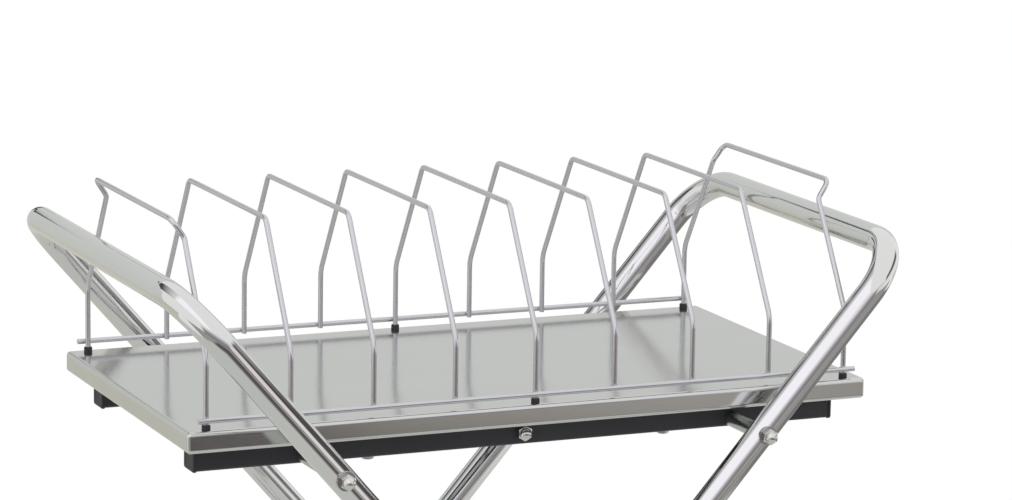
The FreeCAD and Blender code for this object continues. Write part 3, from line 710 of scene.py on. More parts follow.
SLOT_FINISH: dict[str, Finish] = {
    "deck_stainless": STAINLESS,
    "bar_enamel": BLACK_ENAMEL,
    "black_plastic": BLACK_NYLON,
    "rack_wire": NICKEL_WIRE,
    "chrome_tube": CHROME_FITTING,
    "zinc_steel": ZINC_PLATE,
    "bright_nut": BRIGHT_NICKEL,
    "washer_plastic": NATURAL_NYLON,
    "hub_plastic": HUB_PLASTIC,
    "tyre_rubber": GREY_RUBBER,
    "pedal_plastic": BLACK_ABS,
}


class Wardrobe:
    """Builds each finish once and puts it on pieces and construction nodes."""

    def __init__(self) -> None:
        """Start with no material built."""
        self.made: dict[str, bpy.types.Material] = {}

    def material(self, finish: Finish) -> bpy.types.Material:
        """Give the material of a finish, building it at first use.

        Args:
            finish: the surface that is wanted.

        Returns:
            Its one material.
        """
        if finish.name not in self.made:
            self.made[finish.name] = finish.build()
        return self.made[finish.name]

    def dress_nodes(self) -> None:
        """Put each construction node's finish in its material slots."""
        slots = {row["node"]: row["material_slot"] for row in frame["record"]["subparts"]}
        for name, node in frame["nodes"].items():
            material = self.material(SLOT_FINISH[slots[name]])
            if not node.data.materials:
                node.data.materials.append(material)
            for index in range(len(node.data.materials)):
                node.data.materials[index] = material


# ------------------------------------------------------------------ geometry trees


def sweep_tree() -> bpy.types.NodeTree:
    """Build the tree that rounds a run's corners and sweeps a circle along it.

    Returns:
        The tree, with the inputs Diameter, Sides, Bend Steps and Finish.
    """
    tree, given = new_tree(
        "bent_wire",
        {
            "Diameter": "NodeSocketFloat",
            "Sides": "NodeSocketInt",
            "Bend Steps": "NodeSocketInt",
            "Finish": "NodeSocketMaterial",
        },
    )
    line = add(tree, "GeometryNodeMeshToCurve", {"Mesh": given.outputs["Geometry"]})
    bend = add(tree, "GeometryNodeInputNamedAttribute", {"Name": "bend"}, data_type="FLOAT")
    rounded = add(
        tree,
        "GeometryNodeFilletCurve",
        {"Curve": line.outputs[0], "Count": given.outputs["Bend Steps"], "Radius": bend.outputs[0]},
        mode="POLY",
    )
    length = add(tree, "GeometryNodeSplineParameter")
    marked = add(
        tree, "GeometryNodeStoreNamedAttribute",
        {"Geometry": rounded.outputs[0], "Name": "along", "Value": length.outputs["Length"]},
        data_type="FLOAT", domain="POINT",
    )
    half = add(tree, "ShaderNodeMath", {0: given.outputs["Diameter"], 1: 0.5}, operation="MULTIPLY")
    circle = add(
        tree, "GeometryNodeCurvePrimitiveCircle",
        {"Resolution": given.outputs["Sides"], "Radius": half.outputs[0]}, mode="RADIUS",
    )
    place = add(tree, "GeometryNodeInputPosition")
    section = add(
        tree, "GeometryNodeStoreNamedAttribute",
        {"Geometry": circle.outputs[0], "Name": "section", "Value": place.outputs[0]},
        data_type="FLOAT_VECTOR", domain="POINT",
    )
    tube = add(
        tree, "GeometryNodeCurveToMesh",
        {"Curve": marked.outputs[0], "Profile Curve": section.outputs[0], "Fill Caps": True},
    )
    along = add(tree, "GeometryNodeInputNamedAttribute", {"Name": "along"}, data_type="FLOAT")
    around = add(tree, "GeometryNodeInputNamedAttribute", {"Name": "section"}, data_type="FLOAT_VECTOR")
    split = add(tree, "ShaderNodeSeparateXYZ", {0: around.outputs[0]})
    run = add(
        tree, "ShaderNodeCombineXYZ",
        {"X": along.outputs[0], "Y": split.outputs["X"], "Z": split.outputs["Y"]},
    )
    kept = add(
        tree, "GeometryNodeStoreNamedAttribute",
        {"Geometry": tube.outputs[0], "Name": "run", "Value": run.outputs[0]},
        data_type="FLOAT_VECTOR", domain="POINT",
    )
    close_tree(tree, kept.outputs[0], given.outputs["Finish"])
    return tree


def copies_tree() -> bpy.types.NodeTree:
    """Build the tree that sets a copy of one pattern at each point, turned as the point says.

    Returns:
        The tree, with the inputs Pattern and Finish.
    """
    tree, given = new_tree(
        "placed_copies", {"Pattern": "NodeSocketObject", "Finish": "NodeSocketMaterial"}
    )
    pattern = add(
        tree, "GeometryNodeObjectInfo", {"Object": given.outputs["Pattern"]}, transform_space="ORIGINAL"
    )
    facing = add(tree, "GeometryNodeInputNamedAttribute", {"Name": "facing"}, data_type="FLOAT_VECTOR")
    turn = add(tree, "FunctionNodeEulerToRotation", {0: facing.outputs[0]})
    copies = add(
        tree, "GeometryNodeInstanceOnPoints",
        {
            "Points": given.outputs["Geometry"],
            "Instance": pattern.outputs["Geometry"],
            "Rotation": turn.outputs[0],
        },
    )
    close_tree(tree, copies.outputs[0], given.outputs["Finish"])
    return tree


@dataclass
class Workshop:
    """What every sub-assembly builds with: the finishes and the two geometry trees."""

    wardrobe: Wardrobe
    sweep: bpy.types.NodeTree
    copies: bpy.types.NodeTree

    def finish(self, finish: Finish) -> bpy.types.Material:
        """Give the material of a finish."""
        return self.wardrobe.material(finish)

    def swept(
        self, name: str, paths: list[Path], finish: Finish, size: Section, closed: bool = False
    ) -> bpy.types.Object:
        """Sweep a round section along paths.

        Args:
            name: the piece's name.
            paths: the runs, each with its corner points and bend radii.
            finish: the surface.
            size: the section's diameter and how finely it is cut.
            closed: whether each run ends where it starts.

        Returns:
            The finished piece.
        """
        sizes = {
            "Diameter": size.diameter,
            "Sides": size.sides,
            "Bend Steps": size.bend_steps,
            "Finish": self.finish(finish),
        }
        return settle(guide_object(name, paths, closed), self.sweep, sizes)

    def copied(
        self, name: str, pattern: Shell, spots: list[Spot], finish: Finish
    ) -> bpy.types.Object:
        """Set copies of one small pattern at several places.

        Args:
            name: the piece's name.
            pattern: the small part, drawn at the origin along +Z.
            spots: where each copy stands and its turns about X, Y and Z.
            finish: the surface.

        Returns:
            The finished piece.
        """
        part = pattern.piece(f"{name}_pattern")
        points = from_rows(name, [place for place, _ in spots], [], [])
        facing = points.data.attributes.new("facing", "FLOAT_VECTOR", "POINT")
        facing.data.foreach_set("vector", [value for _, turn in spots for value in turn])
        made = settle(points, self.copies, {"Pattern": part, "Finish": self.finish(finish)})
        bpy.data.objects.remove(part)
        return made


# ------------------------------------------------------------------ deck and bars


@dataclass
class DeckAndBars:
    """The two square bars with their end plugs, and the folded channels under the deck.

    All sizes are in millimetres.
    """

    bar_side: float = 25.4
    bar_wall: float = 1.6
    bar_corner: float = 2.4
    bar_half: float = 320.0
    bar_y: float = 134.0
    bar_z: float = 689.3
    cap_proud: float = 0.8
    cap_corner: float = 2.8
    cap_least_corner: float = 0.4
    # the steps of a plug's head: how far each draws in, and how high it stands
    cap_steps: Profile = ((0.0, 0.0), (0.0, 1.8), (0.35, 2.5), (1.1, 3.0), (3.6, 3.0), (4.6, 2.5))
    shank_gap: float = 0.1
    shank_corner: float = 0.7
    # the steps of its shank: the height of each, and its share of the full width
    shank_steps: Profile = ((0.2, 1.0), (-13.0, 1.0), (-14.0, 0.93))
    channel_x: float = 150.0
    channel_crown: float = 20.0
    channel_flange: float = 30.8
    channel_half: float = 168.0
    channel_low: float = 702.0
    channel_high: float = 720.8
    channel_sheet: float = 1.2
    fold_outside: float = 2.0
    fold_inside: float = 0.8
    screw_seat: float = 676.6
    screw_flats: float = 10.0
    screw_head: float = 4.0
    screw_reach: float = 33.6
    screw_radius: float = 3.0
    screw_sink: float = 0.5
    screw_point: float = 0.8
    screw_sides: int = 24
    nut_height: float = 5.0
    nut_play: float = 0.05
    weld_ys: tuple[float, ...] = (-150.0, -90.0, -30.0, 30.0, 90.0, 150.0)
    # the radius and height of a spot weld's raised rim and of the dish inside it
    weld_mark: Profile = ((3.0, -0.1), (3.0, 0.05), (2.5, 0.16), (1.9, 0.05), (POLE_MM, 0.02))
    weld_sides: int = 28

    def build(self, shop: Workshop) -> None:
        """Make the bars, their plugs, the channels and what holds them.

        Args:
            shop: the finishes and trees to build with.
        """
        for y, label in ((-self.bar_y, "front"), (self.bar_y, "rear")):
            bar = self.bar(y).piece(f"square_bar_{label}", shop.finish(BLACK_ENAMEL))
            hand_in(bar, FRAME_BODY, "bar_enamel", f"bar_{label}")
        caps = Shell()
        for side in Side:
            for y in (-self.bar_y, self.bar_y):
                self.cap(caps, side, y)
        made = caps.piece("bar_end_plugs", shop.finish(BLACK_NYLON))
        hand_in(made, FRAME_BODY, "black_plastic", "bar_end_caps")
        for side in Side:
            shell = self.channel(side.value * self.channel_x)
            made = shell.piece(f"hat_channel_{side.label()}", shop.finish(STAINLESS))
            hand_in(made, FRAME_BODY, "deck_stainless", f"deck_channel_{side.label()}")
        self.screws(shop)
        self.spot_welds(shop)

    def bar(self, y: float) -> Shell:
        """Draw one square tube with rounded corners and its real wall.

        Args:
            y: its place front to rear.

        Returns:
            The tube.
        """
        shell = Shell()
        outer = square_outline(self.bar_side * MM, self.bar_corner * MM)
        bore_corner = self.bar_corner - self.bar_wall
        inner = square_outline((self.bar_side - 2 * self.bar_wall) * MM, bore_corner * MM)
        start = placed(-self.bar_half * MM, y * MM, self.bar_z * MM, Facing.RIGHT)
        end = placed(self.bar_half * MM, y * MM, self.bar_z * MM, Facing.RIGHT)
        loops = [(start, outer), (end, outer), (end, inner), (start, inner)]
        shell.stack([[place @ point for point in outline] for place, outline in loops], ring=True)
        return shell

    def cap(self, shell: Shell, side: Side, y: float) -> None:
        """Add one plug: a head with a broken rim and a shallow dish, and its shank.

        Args:
            shell: the piece that gets the plug.
            side: which end of the bar it closes.
            y: the bar's place front to rear.
        """
        # the shape's own +X points down on the right and up on the left
        facing, up = (Facing.RIGHT, -1) if side is Side.RIGHT else (Facing.LEFT, 1)
        place = placed(side.value * self.bar_half * MM, y * MM, self.bar_z * MM, facing)
        # the head is level with the bar's upper face, so that it clears the deck's lip
        high = self.bar_side / 2
        half = high + self.cap_proud
        loops = []
        for inset, rise in self.cap_steps:
            low, top, wide = -half + inset, high - inset, half - inset
            corners = [(up * low, -wide), (up * top, -wide), (up * top, wide), (up * low, wide)]
            radius = max(self.cap_corner - inset, self.cap_least_corner)
            outline = rounded_outline([(a * MM, b * MM) for a, b in corners], [radius * MM] * 4)
            loops.append([place @ (point + Vector((0, 0, rise * MM))) for point in outline])
        shell.stack(loops)
        width = self.bar_side - 2 * self.bar_wall - self.shank_gap
        shank = square_outline(width * MM, self.shank_corner * MM)
        shell.stack([
            [place @ (point * share + Vector((0, 0, rise * MM))) for point in shank]
            for rise, share in self.shank_steps
        ])

    def channel(self, x: float) -> Shell:
        """Draw one hat section with rolled folds.

        Args:
            x: its place along the deck.

        Returns:
            The channel.
        """
        crown, flange, sheet = self.channel_crown, self.channel_flange, self.channel_sheet
        low, high = self.channel_low, self.channel_high
        right = [
            ((crown, low), self.fold_outside),
            ((crown, high - sheet), self.fold_inside),
            ((flange, high - sheet), 0.0),
            ((flange, high), 0.0),
            ((crown - sheet, high), self.fold_outside),
            ((crown - sheet, low + sheet), self.fold_inside),
        ]
        left = [((-out, z), radius) for (out, z), radius in reversed(right)]
        outline = rounded_outline(
            [((x + out) * MM, z * MM) for (out, z), _ in right + left],
            [radius * MM for _, radius in right + left],
        )
        shell = Shell()
        ends = (-self.channel_half * MM, self.channel_half * MM)
        shell.stack([[Vector((point.x, y, point.y)) for point in outline] for y in ends])
        return shell

    def screws(self, shop: Workshop) -> None:
        """Make the four hexagon screws and their nuts.

        Args:
            shop: the finishes and trees to build with.
        """
        spots = [(x, y) for x in (-self.channel_x, self.channel_x) for y in (-self.bar_y, self.bar_y)]
        screw = Shell()
        screw.hexagon(self.screw_flats, self.screw_head, ORIGIN, POLE_MM)
        radius, point, reach = self.screw_radius, self.screw_point, self.screw_reach
        shank = [(radius, self.screw_sink), (radius, point - reach), (radius - point, -reach)]
        screw.turned(shank, ORIGIN, self.screw_sides)
        seats = [(Vector((x, y, self.screw_seat)) * MM, Facing.DOWN.value) for x, y in spots]
        made = shop.copied("deck_screw_set", screw, seats, ZINC_PLATE)
        hand_in(made, FRAME_BODY, "zinc_steel", "deck_screws")
        nut = Shell()
        nut.hexagon(self.screw_flats, self.nut_height, ORIGIN, radius + self.nut_play)
        seat = self.channel_low + self.channel_sheet
        seats = [(Vector((x, y, seat)) * MM, Facing.UP.value) for x, y in spots]
        made = shop.copied("deck_nut_set", nut, seats, ZINC_PLATE)
        hand_in(made, FRAME_BODY, "zinc_steel", "deck_screw_nuts")

    def spot_welds(self, shop: Workshop) -> None:
        """Make the shallow round marks that the spot welder leaves on the flanges.

        Args:
            shop: the finishes and trees to build with.
        """
        mark = Shell()
        mark.turned(self.weld_mark, ORIGIN, self.weld_sides)
        under = self.channel_high - self.channel_sheet
        middle = (self.channel_crown + self.channel_flange) / 2
        spots = [
            (Vector((side * self.channel_x + flange * middle, y, under)) * MM, Facing.DOWN.value)
            for side in (-1, 1)
            for flange in (-1, 1)
            for y in self.weld_ys
        ]
        made = shop.copied("deck_spot_welds", mark, spots, STAINLESS)
        hand_in(made, FRAME_BODY, "deck_stainless")


# ------------------------------------------------------------------ wire rack


@dataclass
class WireRack:
    """Nine bent dividers welded to two long rails, all of one wire.

    Sizes are in metres, apart from those whose names end in mm.
    """

    deck_top: float = 0.722
    deck_under: float = 0.7208
    under_deck: float = 0.7128
    pitch: float = 0.080
    count: int = 9
    wire: float = 0.005
    wire_sides: int = 20
    wire_bend_steps: int = 12
    post_y: float = 0.1735
    kink_up: float = 0.0645
    top_up: float = 0.175
    top_inset: float = 0.0675
    kink_bend: float = 0.026
    corner_bend: float = 0.010
    rail_up: float = 0.009
    rail_overhang: float = 0.009
    flare_out: float = 0.0115
    flare_below: float = 0.012
    flare_rise: float = 0.005
    flare_spread: float = 0.006
    flare_bend: float = 0.009
    foot_every: int = 4
    # a weld nugget from end to end, narrow in the middle: radius and height
    nugget_mm: Profile = ((2.2, -1.1), (1.75, -0.55), (1.6, 0.0), (1.75, 0.55), (2.2, 1.1))
    nugget_sides: int = 20
    # the section of the ring round a standing post: radius and height
    foot_mm: Profile = ((2.55, 0.0), (4.0, 0.0), (4.0, 3.3), (3.75, 4.1), (3.2, 4.5), (2.55, 4.5))
    foot_sides: int = 32
    nut_flats_mm: float = 8.0
    nut_height_mm: float = 4.0
    nut_bore_mm: float = 2.55

    def build(self, shop: Workshop) -> None:
        """Sweep the dividers and the rails, and add the welds and the posts' feet.

        Args:
            shop: the finishes and trees to build with.
        """
        size = Section(self.wire, self.wire_sides, self.wire_bend_steps)
        for index in range(self.count):
            path = self.divider_path(index)
            wire = shop.swept(f"rack_divider_{index + 1}", [path], NICKEL_WIRE, size)
            hand_in(wire, FRAME_BODY, "rack_wire", f"divider_{index + 1}")
        for end, label in ((-1, "front"), (1, "rear")):
            rail = shop.swept(f"rack_long_wire_{label}", [self.rail_path(end)], NICKEL_WIRE, size)
            hand_in(rail, FRAME_BODY, "rack_wire", f"rack_rail_{label}")
        self.welds(shop)
        self.feet(shop)

    def divider_x(self, index: int) -> float:
        """Give the place of a divider along the deck."""
        return (index - (self.count - 1) / 2) * self.pitch

    def divider_path(self, index: int) -> Path:
        """Give one divider's corners, from the front foot over the top to the rear foot.

        Args:
            index: the divider's number, from the left.

        Returns:
            The corner points with their bend radii.
        """
        x = self.divider_x(index)
        stands = index % self.foot_every == 0
        foot = self.under_deck if stands else self.deck_top + self.rail_up - self.wire / 2
        kink = self.deck_top + self.kink_up
        top = self.deck_top + self.top_up
        half: Path = [
            (Vector((x, -self.post_y, foot)), 0.0),
            (Vector((x, -self.post_y, kink)), self.kink_bend),
        ]
        top_y = self.post_y - self.top_inset
        if index in (0, self.count - 1):
            outward = -1 if index == 0 else 1
            share = (self.top_up - self.flare_below - self.kink_up) / (self.top_up - self.kink_up)
            bend_y = self.post_y - self.top_inset * share
            half.append((Vector((x, -bend_y, top - self.flare_below)), self.flare_bend))
            corner_x = x + outward * self.flare_out
            corner = Vector((corner_x, -top_y - self.flare_spread, top + self.flare_rise))
            half.append((corner, self.flare_bend))
        else:
            half.append((Vector((x, -top_y, top)), self.corner_bend))
        other = [(Vector((p.x, -p.y, p.z)), bend) for p, bend in reversed(half)]
        return half + other

    def rail_path(self, end: int) -> Path:
        """Give one long rail's two ends.

        Args:
            end: -1 for the front rail, 1 for the rear one.

        Returns:
            The end points, which have no bend.
        """
        reach = abs(self.divider_x(0)) + self.rail_overhang
        y = end * (self.post_y + self.wire)
        z = self.deck_top + self.rail_up
        return [(Vector((-reach, y, z)), 0.0), (Vector((reach, y, z)), 0.0)]

    def welds(self, shop: Workshop) -> None:
        """Make the small waisted nuggets that fuse each post to its rail.

        Args:
            shop: the finishes and trees to build with.
        """
        nugget = Shell()
        nugget.turned(self.nugget_mm, ORIGIN, self.nugget_sides)
        z = self.deck_top + self.rail_up
        spots = [
            (Vector((self.divider_x(index), end * (self.post_y + self.wire / 2), z)), Facing.REAR.value)
            for index in range(self.count)
            for end in (-1, 1)
        ]
        made = shop.copied("rack_weld_nuggets", nugget, spots, NICKEL_WELD)
        hand_in(made, FRAME_BODY, "rack_wire")

    def feet(self, shop: Workshop) -> None:
        """Make the black rings on the deck and the nuts under it.

        Args:
            shop: the finishes and trees to build with.
        """
        posts = [
            (self.divider_x(index), end * self.post_y)
            for index in range(0, self.count, self.foot_every)
            for end in (-1, 1)
        ]
        foot = Shell()
        foot.turned(self.foot_mm, ORIGIN, self.foot_sides, ring=True)
        spots = [(Vector((x, y, self.deck_top)), Facing.UP.value) for x, y in posts]
        made = shop.copied("rack_foot_rings", foot, spots, BLACK_NYLON)
        hand_in(made, FRAME_BODY, "black_plastic", "rack_post_feet")
        nut = Shell()
        nut.hexagon(self.nut_flats_mm, self.nut_height_mm, ORIGIN, self.nut_bore_mm)
        spots = [(Vector((x, y, self.deck_under)), Facing.DOWN.value) for x, y in posts]
        made = shop.copied("rack_foot_nuts", nut, spots, ZINC_PLATE)
        hand_in(made, FRAME_BODY, "zinc_steel", "rack_post_nuts")


# ------------------------------------------------------------------ tube frames


@dataclass
class TubeFrames:
    """Two bent tubes that cross, each with one hand grip and two legs.

    Sizes are in metres, apart from those whose names end in mm. A frame is named for the side
    of its grip, so its feet stand on the other side.
    """

    tube: float = 0.0254
    tube_sides: int = 72
    tube_bend_steps: int = 40
    bend: float = 0.055
    grip_x: float = 0.361
    grip_z: float = 0.851
    foot_x: float = 0.28488
    foot_z: float = 0.108
    overhang: float = 0.042
    bead: float = 0.0032
    bead_sides: int = 10
    bead_bend_steps: int = 2
    bead_steps: int = 96
    bead_ripple: float = 0.00018
    bead_ripples: int = 24
    # a plug from its shank to its dished face: how far inside the tube's radius, and height
    plug_mm: Profile = (
        (1.6, -9.0), (1.55, 0.0), (0.0, 0.0), (0.0, 1.2),
        (0.4, 1.9), (1.2, 2.35), (2.6, 2.5), (3.6, 2.2),
    )
    plug_sides: int = 56
    half_widths: dict[Side, float] = field(
        default_factory=lambda: {Side.LEFT: 0.238, Side.RIGHT: 0.210}
    )

    def build(self, shop: Workshop) -> None:
        """Sweep both frames and their foot tubes, and add the weld beads and the end plugs.

        Args:
            shop: the finishes and trees to build with.
        """
        size = Section(self.tube, self.tube_sides, self.tube_bend_steps)
        for side, half in self.half_widths.items():
            name = f"tube_frame_{side.label()}"
            tube = shop.swept(name, [self.path(side, half)], CHROME_PLATE, size)
            hand_in(tube, FRAME_BODY, "chrome_tube", f"frame_{side.label()}")
            other = side.across().label()
            path = self.foot_path(side, half)
            foot = shop.swept(f"floor_tube_{other}", [path], CHROME_PLATE, size)
            hand_in(foot, FRAME_BODY, "chrome_tube", f"foot_tube_{other}")
        self.beads(shop)
        self.plugs(shop)

    def path(self, side: Side, half: float) -> Path:
        """Give a frame's corners, from the front foot over the grip to the rear foot.

        Args:
            side: the side of its grip.
            half: half the distance between its two legs.

        Returns:
            The corner points with their bend radii.
        """
        foot_x, grip_x = -side.value * self.foot_x, side.value * self.grip_x
        return [
            (Vector((foot_x, -half, self.foot_z)), 0.0),
            (Vector((grip_x, -half, self.grip_z)), self.bend),
            (Vector((grip_x, half, self.grip_z)), self.bend),
            (Vector((foot_x, half, self.foot_z)), 0.0),
        ]

    def foot_path(self, side: Side, half: float) -> Path:
        """Give the two ends of the foot tube that ends a frame's legs.

        Args:
            side: the side of the frame's grip.
            half: half the distance between its two legs.

        Returns:
            The end points, which have no bend.
        """
        end = half + self.overhang
        return [(Vector((-side.value * self.foot_x, y, self.foot_z)), 0.0) for y in (-end, end)]

    def beads(self, shop: Workshop) -> None:
        """Make the rippled weld beads where each leg meets its foot tube.

        Args:
            shop: the finishes and trees to build with.
        """
        paths = []
        for side, half in self.half_widths.items():
            foot = Vector((-side.value * self.foot_x, 0.0, self.foot_z))
            up = (Vector((side.value * self.grip_x, 0.0, self.grip_z)) - foot).normalized()
            across = up.cross(Vector((0, 1, 0)))
            for y in (-half, half):
                paths.append(self.bead_path(foot + Vector((0, y, 0)), up, across))
        size = Section(self.bead, self.bead_sides, self.bead_bend_steps)
        beads = shop.swept("frame_weld_beads", paths, CHROME_FITTING, size, closed=True)
        hand_in(beads, FRAME_BODY, "chrome_tube")

    def bead_path(self, foot: Vector, up: Vector, across: Vector) -> Path:
        """Give the line on which two equal round tubes meet, with the welder's small ripples.

        Args:
            foot: where the two centre lines meet.
            up: the leg's direction.
            across: square to the leg and to the foot tube.

        Returns:
            The points of the closed line.
        """
        radius = self.tube / 2
        path: Path = []
        for step in range(self.bead_steps):
            angle = 2 * math.pi * step / self.bead_steps
            out = radius + self.bead_ripple * math.sin(self.bead_ripples * angle)
            place = across * out * math.cos(angle) + Vector((0, out * math.sin(angle), 0))
            path.append((foot + place + up * radius * abs(math.sin(angle)), 0.0))
        return path

    def plugs(self, shop: Workshop) -> None:
        """Make the four black plugs in the foot tubes' ends.

        Args:
            shop: the finishes and trees to build with.
        """
        shell = Shell()
        radius = self.tube / 2 / MM
        profile = [(radius - inset, height) for inset, height in self.plug_mm]
        profile.append((POLE_MM, self.plug_mm[-1][1]))
        for side, half in self.half_widths.items():
            for end, facing in ((-1, Facing.FRONT), (1, Facing.REAR)):
                y = end * (half + self.overhang)
                place = placed(-side.value * self.foot_x, y, self.foot_z, facing)
                shell.turned(profile, place, self.plug_sides)
        made = shell.piece("floor_tube_plugs", shop.finish(BLACK_NYLON))
        hand_in(made, FRAME_BODY, "black_plastic", "foot_tube_caps")


# ------------------------------------------------------------------ fasteners


@dataclass
class Fasteners:
    """The dome nuts on the cross rods and pivots, with their washers and bolts.

    All sizes are in millimetres, and angles are in degrees.
    """

    flats: float = 13.0
    hex_height: float = 6.5
    dome_radius: float = 6.0
    dome_sink: float = 1.0
    dome_gap: float = 0.02
    dome_start: float = 5.0
    dome_sweep: float = 84.0
    dome_steps: int = 12
    height: float = 12.0
    bore: float = 4.05
    rim_round: float = 0.3
    tube_radius: float = 12.7
    saddle: float = 1.5
    half_widths: dict[Side, float] = field(
        default_factory=lambda: {Side.LEFT: 238.0, Side.RIGHT: 210.0}
    )
    rod_x: float = 216.06
    rod_z: float = 684.3
    middle_z: float = 688.0
    bar_face: float = 146.7
    cross_z: float = 435.72

    def build(self, shop: Workshop) -> None:
        """Make the nuts and break the rims of the washers and bolts.

        Args:
            shop: the finishes and trees to build with.
        """
        made = shop.copied("dome_nut_set", self.nut(), self.spots(), BRIGHT_NICKEL)
        hand_in(made, FRAME_BODY, "bright_nut", "dome_nuts")
        for name, node, slot in (
            ("saddle_washer_set", "saddle_washers", "zinc_steel"),
            ("pivot_bolt_set", "pivot_bolts", "bright_nut"),
            ("pivot_washer_set", "pivot_washers", "washer_plastic"),
        ):
            hand_in(softened(name, node, self.rim_round), FRAME_BODY, slot, node)

    def nut(self) -> Shell:
        """Draw one dome nut: a chamfered hexagon, a step and a polished dome.

        Returns:
            The nut, seated at the origin.
        """
        shell = Shell()
        shell.hexagon(self.flats, self.hex_height, ORIGIN, self.bore)
        centre = self.height - self.dome_radius
        sunk = self.hex_height - self.dome_sink
        dome = [(POLE_MM, sunk), (self.dome_radius - self.dome_gap, sunk)]
        for step in range(1, self.dome_steps + 1):
            angle = math.radians(self.dome_start + self.dome_sweep * step / self.dome_steps)
            rise = centre + self.dome_radius * math.sin(angle)
            dome.append((self.dome_radius * math.cos(angle), rise))
        shell.turned(dome, ORIGIN)
        return shell

    def spots(self) -> list[Spot]:
        """Give the eight nuts' seats with the way that each one faces.

        Returns:
            Four seats at the front and four at the rear: one at the middle of the bar, two on
            the cross rods and one inside the crossing.
        """
        found: list[Spot] = []
        for out, facing, back in ((-1, Facing.FRONT, Facing.REAR), (1, Facing.REAR, Facing.FRONT)):
            found.append((Vector((0, out * self.bar_face, self.middle_z)) * MM, facing.value))
            for side, half in self.half_widths.items():
                seat = half + self.tube_radius + self.saddle
                place = Vector((side.value * self.rod_x, out * seat, self.rod_z))
                found.append((place * MM, facing.value))
            inner = self.half_widths[Side.RIGHT] - self.tube_radius - self.saddle
            found.append((Vector((0, out * inner, self.cross_z)) * MM, back.value))
        return found


# ------------------------------------------------------------------ casters


class Corner(Enum):
    """Where a caster stands: its side, its end front to rear, and whether it has a brake."""

    FRONT_LEFT = (Side.LEFT, -1, True)
    REAR_LEFT = (Side.LEFT, 1, True)
    FRONT_RIGHT = (Side.RIGHT, -1, False)
    REAR_RIGHT = (Side.RIGHT, 1, False)

    def prefix(self) -> str:
        """Give the start of the names of this caster's nodes and bodies."""
        return f"caster_{self.name.lower()}_"

    def braked(self) -> bool:
        """Tell whether the caster has a brake pedal."""
        return self.value[2]


